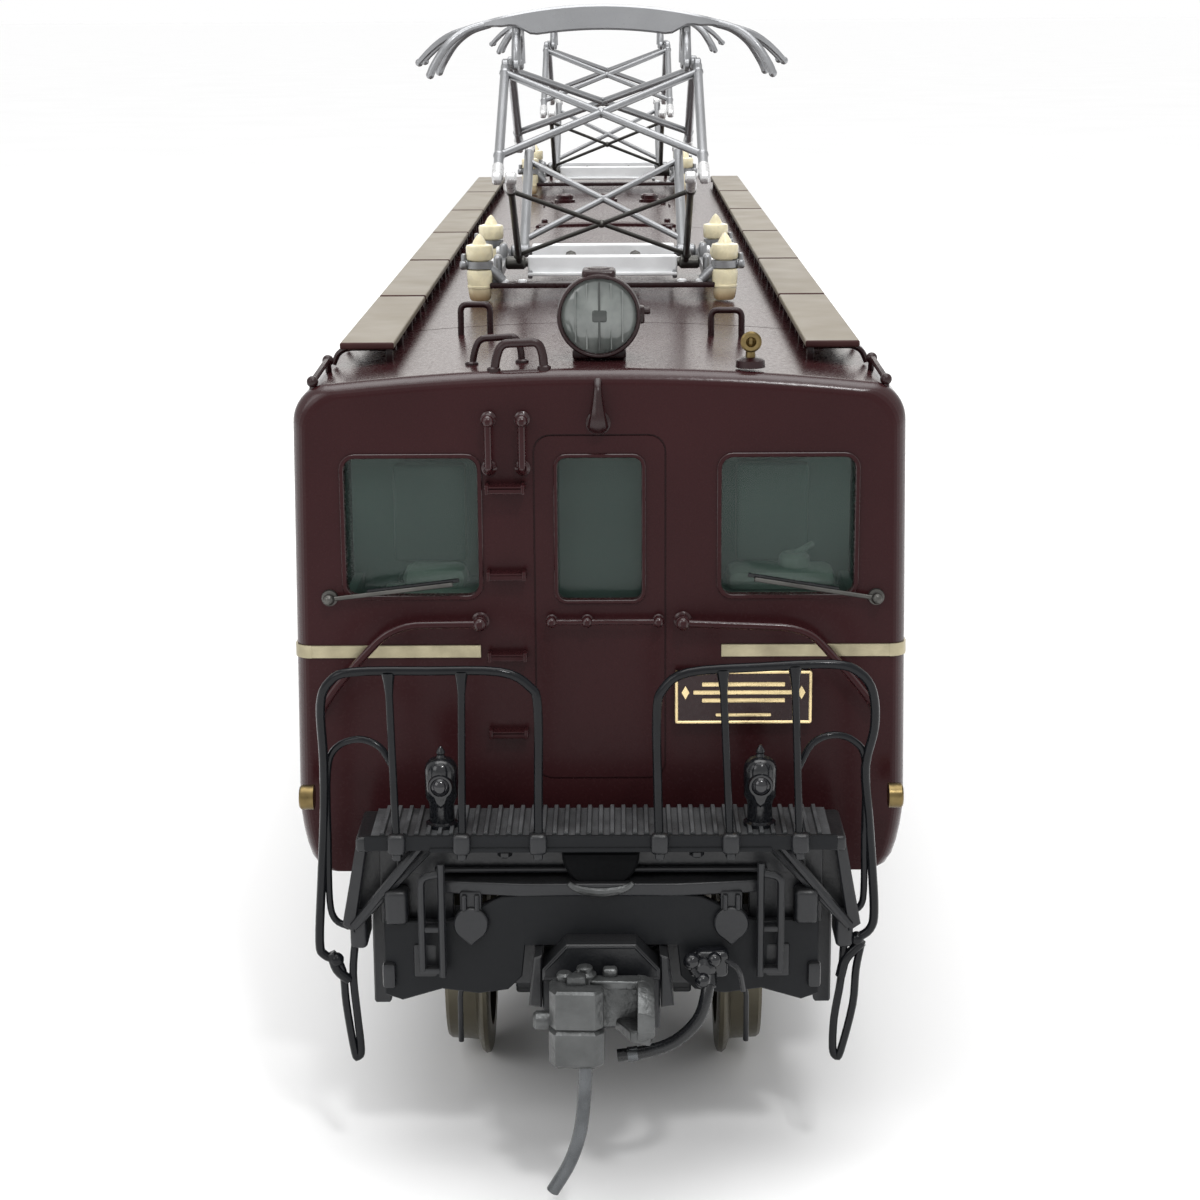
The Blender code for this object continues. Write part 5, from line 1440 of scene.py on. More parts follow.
RAILINGS = {
    "left": {
        "hoop": [(-3.5, -102.9, 20.1), (-3.46, -102.6, 24.0), (-3.44, -102.5, 28.7), (-3.9, -102.5, 29.9),
                 (-5.5, -102.5, 30.73), (-9.5, -102.5, 30.8), (-13.6, -102.5, 30.76), (-14.9, -102.4, 30.2),
                 (-15.5, -102.2, 28.8), (-15.5, -101.7, 25.5), (-15.62, -101.4, 22.0),
                 (-15.9, -101.3, 18.2), (-16.15, -101.3, 14.4), (-15.9, -101.3, 13.6), (-15.2, -101.3, 13.3)],
        "posts": [((-11.67, 30.7), (-11.42, 20.1)), ((-7.63, 30.75), (-7.77, 20.1))],
        "loop": [(-11.55, -102.4, 25.2), (-12.3, -102.1, 26.3), (-13.5, -101.9, 26.7), (-14.8, -101.6, 26.1),
                 (-15.35, -101.4, 24.6), (-15.45, -101.3, 20.5), (-15.5, -101.2, 16.9),
                 (-15.2, -101.2, 15.7), (-14.4, -101.3, 15.3)],
        "ladder": [(-15.5, 13.7), (-14.9, 12.6), (-14.75, 10.5), (-14.35, 7.5), (-14.15, 7.25), (-13.98, 7.7),
                   (-14.15, 10.0), (-14.3, 12.4), (-14.1, 14.6)],
        "link": [(-15.5, 13.7), (-15.2, 12.7), (-14.5, 12.0)],
    },
    "right": {
        "hoop": [(3.3, -102.9, 20.1), (3.2, -102.6, 24.0), (3.15, -102.5, 28.3), (3.5, -102.5, 29.7),
                 (4.9, -102.5, 30.66), (8.8, -102.5, 30.95), (12.8, -102.5, 31.1), (14.3, -102.4, 30.6),
                 (15.1, -102.2, 29.4), (15.27, -101.9, 27.3), (14.85, -101.6, 24.9), (15.1, -101.4, 22.0),
                 (15.35, -101.3, 19.2), (15.55, -101.3, 16.2), (15.35, -101.3, 15.1), (14.6, -101.3, 14.5)],
        "posts": [((6.78, 30.8), (7.28, 20.1)), ((10.75, 31.0), (11.15, 20.1))],
        "loop": [(11.0, -102.4, 25.0), (11.8, -102.1, 26.4), (13.0, -101.9, 26.85), (14.2, -101.7, 26.4),
                 (14.85, -101.5, 25.1), (14.9, -101.3, 20.8), (14.95, -101.2, 17.6),
                 (14.8, -101.2, 16.5), (14.2, -101.3, 16.1)],
        "ladder": [(14.9, 14.3), (14.6, 12.6), (14.45, 10.4), (13.8, 7.5), (13.55, 7.2), (13.35, 7.7),
                   (13.4, 9.6), (13.75, 12.0), (13.9, 14.6)],
        "link": [(14.9, 14.3), (14.0, 13.3), (13.7, 12.2)],
    },
}


def make_railing(name, plan):
    """Bent-wire hoop with soldered posts, an inner loop and a hairpin step on a short link."""
    wires = [sweep(smooth_route(plan["hoop"], 4), 0.26, 14)]
    for top, foot in plan["posts"]:
        start, end = Vector((top[0], -102.5, top[1])), Vector((foot[0], -102.9, foot[1]))
        points = [start, start.lerp(end, 0.05), start.lerp(end, 0.12), start.lerp(end, 0.5),
                  start.lerp(end, 0.93), end]
        wires.append(sweep(points, [0.4, 0.3, 0.215, 0.215, 0.23, 0.3], 12))
    wires.append(sweep(smooth_route(plan["loop"], 4), 0.2, 12))
    for key, y, radius in (("ladder", -101.2, 0.23), ("link", -101.3, 0.3)):
        wires.append(sweep(smooth_route([(x, y, z) for x, z in plan[key]], 4), radius, 12))
    wires.append(ball((plan["hoop"][-1][0], -101.3, plan["hoop"][-1][2]), 0.42, 14))
    add_piece(name, [(wires, "wire")], body="rear_truck",
              replaces=[name.replace("_wirework", "_railing")])


def make_tail_lamp(name, node, x):
    """Domed lantern on a stout stand with a short finial and a bulging glass in its front tube."""
    y = -100.85
    lantern = turned([(21.2, 0.92), (21.45, 0.92), (21.55, 0.72), (22.5, 0.7), (22.8, 0.8), (23.0, 0.92),
                      (24.65, 0.94), (24.95, 0.84), (25.2, 0.6), (25.3, 0.28), (25.45, 0.2), (25.55, 0.25),
                      (25.7, 0.22), (25.95, 0.05)], "Z", (x, y, 0), 28)
    tube = ring_shape([(-101.95, 0.54), (-101.95, 0.66), (-101.8, 0.7), (-100.9, 0.7), (-100.9, 0.54)], "Y",
                      (x, 0, 23.85), 28)
    beard = prism([(x - 0.55, 23.4), (x + 0.55, 23.4), (x + 0.3, 22.75), (x, 22.5), (x - 0.3, 22.75)], "Y",
                  -101.75, -101.0, 0.12)
    glass = ball((x, -101.62, 23.85), 0.6, 28)
    add_piece(name, [([lantern, tube, beard], "gloss_black"), (glass, "dark_lens")],
              body="rear_truck", replaces=[node])


def make_air_hose():
    """Brake hose: an angle cock with knobs and a lever, and a rigid bent hose with a steel ferrule."""
    route = smooth_route([(6.1, -103.3, 13.6), (6.0, -104.3, 12.9), (5.5, -104.8, 11.2),
                          (4.2, -105.0, 9.9), (2.6, -105.0, 9.25), (0.9, -105.0, 9.0)], 6)
    count = len(route)
    hose = sweep(route, 0.36, 14)
    ferrule = sweep(route[count - 5:count - 2], 0.42, 14)
    band = sweep(route[3:7], 0.46, 14)
    body = turned([(-103.0, 0.95), (-103.3, 0.95), (-103.5, 0.75), (-104.1, 0.7), (-104.3, 0.4)], "Y",
                  (5.75, 0, 13.75), 8)
    shoulder = box((5.3, -103.8, 13.1), (7.2, -102.6, 14.7), 0.35, 3)
    knobs = [ball((5.1, -103.9, 14.2), 0.5, 16), ball((6.35, -104.0, 14.35), 0.42, 16),
             ball((5.7, -104.3, 13.2), 0.45, 16), rod((5.1, -104.2, 13.9), (5.9, -104.5, 13.0), 0.16, 8)]
    lever = sweep(smooth_route([(6.9, -103.6, 14.2), (7.7, -103.9, 13.7), (8.0, -103.9, 12.4)], 4), 0.16, 8)
    add_piece("rear_brake_hose", [([hose, band], "rubber"), (ferrule, "pin"),
                                  ([body, shoulder, lever] + knobs, "gloss_black")],
              body="rear_truck", replaces=["rear_air_hose"])


def make_nose_pilot():
    """Streamlined skirt below the nose with a coupler mouth, a lower bead and rows of rivets."""
    def plan(inset):
        points = []
        for step in range(31):
            u = 0.3 + 0.692 * math.sin(math.pi / 2 * step / 30)
            points.append(((SIDE_LOW_X - inset) * nose_narrow(u),
                           NOSE_START + (NOSE_TIP - NOSE_START - inset) * u))
        return points + [(-x, y) for x, y in reversed(points)]

    outer, inner = plan(0.4), plan(1.1)
    rings = []
    for z, lower in ((4.2, 0.15), (4.45, 0.0), (15.9, 0.0), (16.2, 0.15)):
        tucked = plan(0.4 + lower) if lower else outer
        rings.append([(x, y, z) for x, y in tucked])
    skirt = loft(rings)
    hollow = prism(inner, "Z", 3.0, 17.2)
    behind = box((-20, 70, 3), (20, 81.6, 17.2))
    mouth = prism(rounded_rectangle(-3.9, 9.6, 3.9, 14.8, 0.9, 5), "Y", 95, 106)
    shell = carved(skirt, [hollow, behind, mouth])
    trim = []
    line = [(x, y, 6.0) for x, y in plan(0.36) if abs(x) > 0.5 and y > 83]
    for side in (1, -1):
        trim.append(sweep([point for point in line if side * point[0] > 0], 0.16, 8))
    for x, y, _ in line[::2]:
        trim.append(ball((x, y, 15.3), 0.2, 8))
    add_piece("nose_skirt", [(shell, "paint"), (trim, "dark_paint")], body="nose_truck",
              replaces=["nose_pilot"], sharp=38)


# ---- wheels and drive ----

WHEEL_BACK = 7.2
WHEEL_FACE = 10.0
DRIVER_TREAD = 7.8
CARRIER_TREAD = 5.875


def spoked_centre(side, tread, spokes, hub):
    """Hub and rounded, dished spokes of one wheel, about the X axis through the origin."""
    shapes = [turned([(side * (WHEEL_BACK + 0.2), 0.9), (side * (WHEEL_BACK + 0.2), hub),
                      (side * (WHEEL_FACE - 0.6), hub), (side * (WHEEL_FACE - 0.1), hub * 0.82),
                      (side * (WHEEL_FACE + 0.1), hub * 0.7), (side * (WHEEL_FACE + 0.1), 0.7)],
                     "X", (0, 0, 0), 24)]
    for index in range(spokes):
        angle = 2 * math.pi * (index + 0.5) / spokes
        ahead = Vector((0, math.cos(angle), math.sin(angle)))
        across = Vector((0, -math.sin(angle), math.cos(angle)))
        rings = []
        for reach, x, thick, wide in ((hub - 0.3, WHEEL_FACE - 0.85, 0.75, 0.5),
                                      ((hub + tread) / 2, WHEEL_FACE - 1.15, 0.6, 0.34),
                                      (tread - 0.9, WHEEL_FACE - 1.3, 0.7, 0.42)):
            centre = Vector((side * x, 0, 0)) + ahead * reach
            rings.append([centre + Vector((thick * math.cos(t), 0, 0)) + across * wide * math.sin(t)
                          for t in [2 * math.pi * step / 8 for step in range(8)]])
        shapes.append(loft(rings))
    rim = [(side * (WHEEL_BACK + 0.4), tread - 1.55), (side * (WHEEL_BACK + 0.4), tread - 0.8),
           (side * (WHEEL_FACE - 0.35), tread - 0.8), (side * (WHEEL_FACE - 0.35), tread - 1.3),
           (side * (WHEEL_FACE - 0.7), tread - 1.5)]
    shapes.append(ring_shape(rim, "X", (0, 0, 0), 48))
    return shapes


def tyre(side, tread):
    profile = [(WHEEL_BACK, tread - 0.9), (WHEEL_BACK, tread + 0.55), (WHEEL_BACK + 0.12, tread + 0.82),
               (WHEEL_BACK + 0.38, tread + 0.9), (WHEEL_BACK + 0.62, tread + 0.7),
               (WHEEL_BACK + 0.85, tread + 0.05), (WHEEL_BACK + 1.1, tread), (WHEEL_FACE - 0.2, tread - 0.1),
               (WHEEL_FACE, tread - 0.26), (WHEEL_FACE, tread - 0.75), (WHEEL_FACE - 0.15, tread - 0.9)]
    return ring_shape([(side * along, radius) for along, radius in profile], "X", (0, 0, 0), 64)


def gear_outline(root, tip, teeth):
    outline = []
    for index in range(teeth):
        for share, radius in ((0.0, root), (0.22, root), (0.36, tip), (0.58, tip), (0.72, root)):
            angle = 2 * math.pi * (index + share) / teeth
            outline.append((radius * math.cos(angle), radius * math.sin(angle)))
    return outline


def make_wheelset(name, node, body, spokes, hub, stub, geared):
    """Two spoked wheels on an axle, with the drive gear in the middle if it has one."""
    low, high = node_box(node)
    centre = (low + high) / 2
    tread = DRIVER_TREAD if geared else CARRIER_TREAD
    tyres, centres = [], []
    for side in (-1, 1):
        tyres.append(tyre(side, tread))
        centres += spoked_centre(side, tread, spokes, hub)
    axle = turned([(-stub, 0.5), (-stub + 0.25, 0.75), (-WHEEL_FACE, 0.78), (-WHEEL_BACK, 0.98),
                   (WHEEL_BACK, 0.98), (WHEEL_FACE, 0.78), (stub - 0.25, 0.75), (stub, 0.5)],
                  "X", (0, 0, 0), 24)
    parts = [(joined(tyres), "steel" if geared else "dull_tyre"), (joined(centres), "black"),
             (axle, "pin")]
    if geared:
        wheel = prism(gear_outline(4.5, 5.02, 20), "X", -1.55, 1.55)
        boss = turned([(-2.6, 1.5), (-2.5, 1.8), (2.5, 1.8), (2.6, 1.5)], "X", (0, 0, 0), 24)
        parts.append((joined([wheel, boss]), "gear"))
    for shape, _ in parts:
        bmesh.ops.translate(shape, vec=centre, verts=shape.verts)
    add_piece(name, parts, body=body, replaces=[node])


def make_worm(end, drivers):
    """A steel shaft with a threaded worm over each driving axle."""
    low, high = node_box(f"{end}_worm_shaft")
    shaft = rod((0, low.y + 0.05, WORM_Z), (0, high.y - 0.05, WORM_Z), 0.58, 16)
    brass = []
    for y in drivers:
        core = [(y - 2.4, 0.9), (y - 2.3, 1.12), (y + 2.3, 1.12), (y + 2.4, 0.9)]
        brass.append(turned(core, "Y", (0, 0, WORM_Z), 24))
        brass.append(coil("Y", (0, WORM_Z), 1.18, y - 2.05, 4.1, 3, 20, 0.25, 8))
    add_piece(f"{end}_worm_drive", [(shaft, "pin"), (brass, "gear")],
              body=f"{end}_worm", replaces=[f"{end}_worm_shaft"])


def make_motor(end, out):
    """Can motor: plated case, black end cap with brush holders and terminals, brass bush."""
    low, high = node_box(f"{end}_motor_case")
    centre, z = (0, 0, WORM_Z), WORM_Z
    near, far = (low.y, high.y) if out > 0 else (high.y, low.y)
    case = turned([(near + 0.1 * out, 1.5), (near + 0.2 * out, 3.4), (near + 0.6 * out, 3.85),
                   (near + 1.0 * out, 3.97), (far - 4.0 * out, 3.97), (far - 3.9 * out, 3.8)],
                  "Y", centre, 48)
    cap = turned([(far - 3.95 * out, 3.6), (far - 3.9 * out, 3.9), (far - 1.0 * out, 3.9),
                  (far - 0.5 * out, 3.6), (far - 0.45 * out, 1.6), (far - 0.1 * out, 1.5),
                  (far - 0.05 * out, 1.0)], "Y", centre, 48)
    bush = turned([(near + 0.3 * out, 1.55), (near - 0.35 * out, 1.5), (near - 0.4 * out, 1.25)],
                  "Y", centre, 24)
    bands = [ring_shape([(along, 3.9), (along, 4.05), (along + 1.6, 4.05), (along + 1.6, 3.9)],
                        "Y", centre, 48) for along in (low.y + 5.0, low.y + 9.0)]
    tabs = [box((side * 2.9 - 0.1, far - 0.5 * out, z - 0.5),
                (side * 2.9 + 0.1, far + 0.9 * out, z + 0.5), 0.05) for side in (-1, 1)]
    caps = [turned([(side * 3.3, 0.9), (side * 3.98, 0.85), (side * 4.02, 0.6)], "X",
                   (0, far - 2.2 * out, z), 16) for side in (-1, 1)]
    add_piece(f"{end}_motor", [([case] + bands, "motor"), ([cap] + caps, "gloss_black"),
                               ([bush] + tabs, "brass")],
              body=f"{end}_truck", replaces=[f"{end}_motor_case"])


# ---- trucks ----

TRUCKS = {
    "rear": {"out": -1, "drivers": (-59.0, -39.5, -20.0), "pivot": -49.25, "frame_end": -98.6},
    "nose": {"out": 1, "drivers": (44.0, 24.5, 5.0), "pivot": 34.25, "frame_end": 81.0},
}
FRAME_IN = 12.4
FRAME_OUT = 13.4
DRIVER_Z = 8.7
CARRIER_Z = 6.775
PONY_AXLE = -83.5
PONY_PIVOT = -69.5
BOGIE_AXLES = (65.0, 89.0)
BOGIE_PIVOT = 77.0


def side_outline(truck):
    """Plate frame seen from the side, with a rounded pedestal below it at each driving axle."""
    out = truck["out"]
    inner = truck["drivers"][2] - 10.3 * out
    end = truck["frame_end"]
    low, top = 9.5, 15.6
    outline = [(inner, low + 2.2)]
    for driver in reversed(truck["drivers"]):
        outline += [(driver + reach * out, z) for reach, z in (
            (-5.2, low + 0.1), (-4.2, low - 0.3), (-3.3, 6.6), (-2.8, 5.8),
            (2.8, 5.8), (3.3, 6.6), (4.2, low - 0.3), (5.2, low + 0.1))]
    outline += [(end, low), (end, top), (inner + 1.2 * out, top), (inner, top - 1.2)]
    return outline


def leaf_spring(side, y, z, leaves=4):
    """A stack of bowed leaves with a buckle in the middle and hanger rods at its ends."""
    shapes = []
    x0, x1 = sorted((side * 13.45, side * 14.15))
    bow = 0.9
    for index in range(leaves):
        half = 4.7 - 0.75 * index
        base = z - 0.3 * index
        line = [-half + 2 * half * step / 12 for step in range(13)]
        upper = [(y + a, base - bow * (a / 4.7) ** 2) for a in line]
        lower = [(y + a, base - bow * (a / 4.7) ** 2 - 0.26) for a in reversed(line)]
        shapes.append(prism(upper + lower, "X", x0, x1))
    shapes.append(box((x0 - 0.08, y - 0.55, z - 0.3 * leaves - 0.15), (x1 + 0.08, y + 0.55, z + 0.15), 0.12))
    for end in (-1, 1):
        spot = y + end * 4.5
        tip = z - bow
        shapes.append(rod((side * 13.8, spot, tip + 0.5), (side * 13.8, spot, tip - 2.6), 0.2, 10))
        shapes.append(box((side * 13.4, spot - 0.4, tip - 2.9), (side * 14.2, spot + 0.4, tip - 2.3), 0.12))
    return shapes


def axlebox(side, y):
    """Axlebox with a round cover and four bolts, between two guides."""
    shapes = [box((side * 13.2, y - 1.75, DRIVER_Z - 2.0), (side * 14.15, y + 1.75, DRIVER_Z + 2.0), 0.28, 3),
              turned([(side * 14.0, 1.35), (side * 14.3, 1.3), (side * 14.42, 0.9), (side * 14.45, 0.3)], "X",
                     (0, y, DRIVER_Z), 24)]
    for a in (-1.35, 1.35):
        for b in (-1.6, 1.6):
            shapes.append(rod((side * 14.1, y + a, DRIVER_Z + b),
                              (side * 14.32, y + a, DRIVER_Z + b), 0.22, 6))
        shapes.append(box((side * 13.3, y + a * 1.65 - 0.25, DRIVER_Z - 2.6),
                          (side * 13.95, y + a * 1.65 + 0.25, DRIVER_Z + 2.4), 0.1))
    return shapes


def brake_shoe(side, y, toward):
    """Shoe against the tread and the hanger that carries it."""
    inner, outer = 8.15, 9.0
    angles = [math.radians(-28 + 56 * step / 8) for step in range(9)]
    arc = [(y + toward * inner * math.cos(t), DRIVER_Z + inner * math.sin(t)) for t in angles]
    back = [(y + toward * outer * math.cos(t), DRIVER_Z + outer * math.sin(t)) for t in reversed(angles)]
    shoe = prism(arc + back, "X", *sorted((side * 8.35, side * 9.7)))
    spot = y + toward * (outer + 0.1)
    hanger = rod((side * 9.0, spot, DRIVER_Z - 2.2), (side * 9.0, spot + toward * 0.2, 13.2), 0.3, 10)
    return [shoe, hanger]


def coupler_box(out):
    """Coupler pocket: a bevelled hood over a hollow box with ears at its sides."""
    pivot = 97.5 * out
    back, front = sorted((94.5 * out, (104.3 if out < 0 else 104.0) * out))
    half = 3.3
    outline = [(-half, 10.3), (half, 10.3), (half, 13.95), (1.95, 15.45), (-1.95, 15.45), (-half, 13.95)]
    solid = prism(outline, "Y", back, front, 0.1)
    c0, c1 = sorted((95.3 * out, 106.0 * out))
    hollow = box((-2.75, c0, 10.95), (2.75, c1, 13.45))
    shapes = [carved(solid, [hollow])]
    shapes.append(rod((0, pivot, 10.5), (0, pivot, 13.9), 0.5, 16))
    mouth = 104.35 * out
    for side in (-1, 1):
        ear = [(side * 3.3, 14.75), (side * 3.75, 14.6), (side * 4.1, 11.7), (side * 3.35, 11.6)]
        shapes.append(prism(ear, "Y", *sorted((mouth, mouth - 2.6 * out)), 0.1))
    hood = [(-3.3, 13.3), (3.3, 13.3), (3.3, 13.95), (1.95, 15.45), (-1.95, 15.45), (-3.3, 13.95)]
    shapes.append(prism(hood, "Y", *sorted((mouth - 0.3 * out, mouth + 0.25 * out)), 0.16))
    for x0, z0, x1, z1 in ((-3.15, 13.95, -1.9, 15.33), (-1.9, 15.33, 1.9, 15.33), (1.9, 15.33, 3.15, 13.95),
                           (-3.2, 13.5, 3.2, 13.5)):
        shapes.append(rod((x0, mouth + 0.24 * out, z0), (x1, mouth + 0.24 * out, z1), 0.09, 8))
    return shapes


def make_truck(end, truck):
    """Plate-frame truck: side plates, springs, axleboxes, brakes, stretchers, pivot and coupler box."""
    out = truck["out"]
    drivers = truck["drivers"]
    pivot = truck["pivot"]
    plates = []
    fittings = []
    inner_end = drivers[2] - 9.6 * out
    inner_gap = (drivers[1] + drivers[2]) / 2
    for side in (-1, 1):
        low, high = sorted((side * FRAME_IN, side * FRAME_OUT))
        plate = prism(side_outline(truck), "X", low, high, 0.1)
        holes = []
        for first, second in zip(drivers, drivers[1:]):
            middle = (first + second) / 2
            outline = rounded_rectangle(middle - 2.6, 11.4, middle + 2.6, 13.4, 0.9)
            holes.append(prism(outline, "X", low - 0.5, high + 0.5))
        for driver in drivers:
            holes.append(rod((low - 0.5, driver, DRIVER_Z), (high + 0.5, driver, DRIVER_Z), 1.2, 16))
        plates.append(carved(plate, holes))
        for driver in drivers:
            fittings += axlebox(side, driver)
            fittings += leaf_spring(side, driver, 14.6)
            fittings += brake_shoe(side, driver, -out)
        for spot in range(7):
            y = drivers[0] + (drivers[2] - drivers[0]) * spot / 6
            fittings.append(turned([(side * 13.35, 0.22), (side * 13.55, 0.2), (side * 13.6, 0.1)], "X",
                                   (0, y, 15.1), 10))
    reach = FRAME_IN + 0.3
    for y, half in ((pivot, 0.75), (inner_gap, 0.7), (inner_end, 0.5)):
        fittings.append(box((-reach, y - half, 10.5), (reach, y + half, 13.4), 0.12))
    for side in (-1, 1):
        fittings.append(box((side * 2.6, pivot - 0.75, 13.0), (side * 4.4, pivot + 0.75, 18.0), 0.12))
    bolster = box((-4.4, pivot - 2.6, 17.3), (4.4, pivot + 2.6, 18.9), 0.2, 3)
    fittings.append(carved(bolster, [rod((0, pivot, 16.5), (0, pivot, 20.0), 1.5, 24)]))
    seat = drivers[0] + 10.4 * out
    fittings.append(box((-reach, seat - 1.1, 8.8), (reach, seat + 1.1, 11.1), 0.15))
    end_y = truck["frame_end"]
    if end == "rear":
        pin_y, pin_top = PONY_PIVOT, 10.8
        fittings.append(box((-reach, end_y, 10.6), (reach, end_y + 1.6, 15.0), 0.15))
        for side in (-1, 1):
            fittings.append(box((side * 12.5, end_y + 0.1, 14.0), (side * 13.3, end_y + 1.3, 18.25), 0.12))
    else:
        pin_y, pin_top = BOGIE_PIVOT, 11.9
        fittings.append(box((-reach, BOGIE_PIVOT - 1.6, 11.4), (reach, BOGIE_PIVOT + 1.6, 13.0), 0.15))
        for side in (-1, 1):
            fittings.append(box((side * 1.8, BOGIE_PIVOT, 11.6), (side * 3.2, 98.0, 13.6), 0.15))
    fittings.append(rod((0, pin_y, 7.2), (0, pin_y, pin_top), 0.8, 20))
    fittings.append(turned([(7.1, 0.5), (7.0, 1.0), (7.25, 1.1), (7.35, 0.8)], "Z", (0, pin_y, 0), 20))
    fittings += coupler_box(out)
    add_piece(f"{end}_truck_plates", [(plates, "black"), (fittings, "black")],
              body=f"{end}_truck", replaces=[f"{end}_truck_frame"])


def axle_hole(side, y):
    return rod((side * 3, y, CARRIER_Z), (side * 7, y, CARRIER_Z), 1.25, 20)


def axle_bush(side, y):
    """Ring round a carrying axle, proud of its side plate."""
    profile = [(side * 5.5, 1.25), (side * 5.5, 1.8), (side * 5.95, 1.7), (side * 5.95, 1.25)]
    return ring_shape(profile, "X", (0, y, CARRIER_Z), 24)


def make_pony():
    """Radial pony truck: drawbar, cross frames, side plates, axle bushes and guard irons."""
    y = PONY_AXLE
    frame_parts = [box((-1.8, y + 3.0, 7.6), (1.8, PONY_PIVOT + 0.9, 8.6), 0.15),
                   box((-5.6, y + 2.6, 5.4), (5.6, y + 3.8, 8.6), 0.2),
                   box((-5.6, y - 3.8, 5.4), (5.6, y - 2.6, 8.2), 0.2),
                   ring_shape([(7.6, 1.15), (7.6, 1.85), (8.6, 1.85), (8.6, 1.15)], "Z",
                              (0, PONY_PIVOT, 0), 28)]
    for side in (-1, 1):
        plate = box((side * 4.4, y - 3.4, 5.0), (side * 5.6, y + 3.4, 8.4), 0.18)
        frame_parts.append(carved(plate, [axle_hole(side, y)]))
        frame_parts.append(axle_bush(side, y))
        iron = [(side * 5.3, y - 3.6, 7.6), (side * 7.4, y - 6.9, 7.7), (side * 8.9, y - 7.4, 7.2),
                (side * 8.9, y - 7.5, 4.6), (side * 8.9, y - 7.3, 3.5)]
        frame_parts.append(sweep(bent_route(iron, 0.7, 4), 0.17, 10))
    spring = coil("Z", (0, y + 5.2), 1.15, 8.6, 1.9, 8, 10, 0.16, 6)
    add_piece("pony_truck_frame", [(frame_parts, "black"), (spring, "pin")],
              body="pony_truck", replaces=["pony_frame"])


def make_bogie():
    """Leading bogie: side plates with axle bushes, a bolster on the pivot and end stretchers."""
    first, last = BOGIE_AXLES
    bolster = box((-5.6, BOGIE_PIVOT - 2.4, 7.4), (5.6, BOGIE_PIVOT + 2.4, 8.8), 0.2)
    parts = [carved(bolster, [rod((0, BOGIE_PIVOT, 6), (0, BOGIE_PIVOT, 11), 1.15, 24)])]
    for side in (-1, 1):
        outline = [(first - 3.0, 7.9), (first - 2.5, 5.4), (first + 2.6, 5.2), (first + 4.4, 6.9),
                   (last - 4.4, 6.9), (last - 2.6, 5.2), (last + 2.5, 5.4), (last + 3.0, 7.9),
                   (last + 2.6, 8.4), (first - 2.6, 8.4)]
        plate = prism(outline, "X", *sorted((side * 4.4, side * 5.6)), 0.12)
        parts.append(carved(plate, [axle_hole(side, y) for y in BOGIE_AXLES]))
        parts += [axle_bush(side, y) for y in BOGIE_AXLES]
    for y in (first + 4.6, last - 4.6):
        parts.append(box((-4.6, y - 0.6, 6.9), (4.6, y + 0.6, 8.2), 0.15))
    add_piece("leading_bogie_plates", [(parts, "black")], body="leading_bogie",
              replaces=["leading_bogie_frame"])


# ---- couplers ----

def make_coupler(end, out):
    """Knuckle coupler: shank, head with guard arm and lock lift; faceted knuckle and curved trip pin."""
    half_turn = Matrix.Rotation(math.pi if out > 0 else 0.0, 4, "Z")
    floor, roof = 10.9, 14.1
    head = [box((-1.1, -105.2, 11.45), (1.1, -98.6, 12.95), 0.15),
            ring_shape([(11.45, 0.85), (11.45, 1.5), (12.95, 1.5), (12.95, 0.85)], "Z", (0, -97.5, 0), 28),
            box((-1.5, -105.9, floor + 0.2), (2.1, -105.15, roof - 0.15), 0.14),
            prism([(-0.9, -105.7), (2.1, -105.7), (2.5, -106.4), (1.9, -106.6), (-0.3, -106.5),
                   (-0.9, -106.3)], "Z", roof - 0.5, roof, 0.08),
            prism([(0.75, -105.7), (2.4, -105.7), (2.9, -107.0), (2.7, -108.1), (1.6, -107.6)], "Z",
                  floor, floor + 0.75, 0.1),
            turned([(roof - 0.3, 0.68), (roof + 0.2, 0.66), (roof + 0.3, 0.48), (roof + 0.6, 0.44),
                    (roof + 0.7, 0.2)], "Z", (-0.9, -105.8, 0), 16),
            box((0.1, -105.9, roof - 0.1), (0.9, -105.2, roof + 0.45), 0.15)]
    rings = []
    for x, lean in ((2.0, 0.0), (2.45, -0.05), (2.95, -0.3)):
        rings.append([(x, -105.5, floor - lean), (x, -105.5, roof + lean), (x, -106.5, roof + lean),
                      (x, -107.7, 13.65 + lean), (x, -108.35, 13.0 + lean), (x, -108.45, 11.9),
                      (x, -108.0, 11.15 - lean), (x, -106.5, floor - lean)])
    head.append(loft(rings))
    for shape in head:
        moved(shape, half_turn)
    add_piece(f"{end}_coupler_casting", [(head, "cast")], body=f"{end}_coupler",
              replaces=[f"{end}_coupler_head"], bevel=0.05)

    jaw = [(-2.87, -107.9), (-2.5, -108.55), (-0.3, -108.65), (0.16, -108.2), (0.2, -107.35), (-1.1, -107.25),
           (-1.3, -106.3), (-2.5, -106.2), (-2.9, -106.7)]
    upper = inset_outline(jaw, 0.05)
    knuckle = [prism(jaw, "Z", 9.78, 12.02, 0.22), prism(upper, "Z", 11.98, 14.3, 0.14),
               rod((-2.0, -106.7, 9.95), (-2.0, -106.7, 14.75), 0.45, 16),
               rod((-2.4, -106.9, 12.0), (-3.75, -106.9, 12.0), 0.52, 16),
               box((-1.9, -107.6, 14.1), (-0.8, -106.6, 14.75), 0.2)]
    route = smooth_route([(-0.85, -107.9, 10.6), (-0.9, -107.95, 8.6), (-1.15, -107.95, 6.0),
                          (-1.75, -107.95, 4.0), (-2.75, -107.95, 2.2)], 6)
    pin = sweep(route, 0.38, 16)
    for shape in knuckle + [pin]:
        moved(shape, half_turn)
    add_piece(f"{end}_coupler_jaw", [(knuckle, "cast"), (pin, "pin")], body=f"{end}_knuckle",
              replaces=[f"{end}_coupler_knuckle"])


# ---- side and nose trim ----

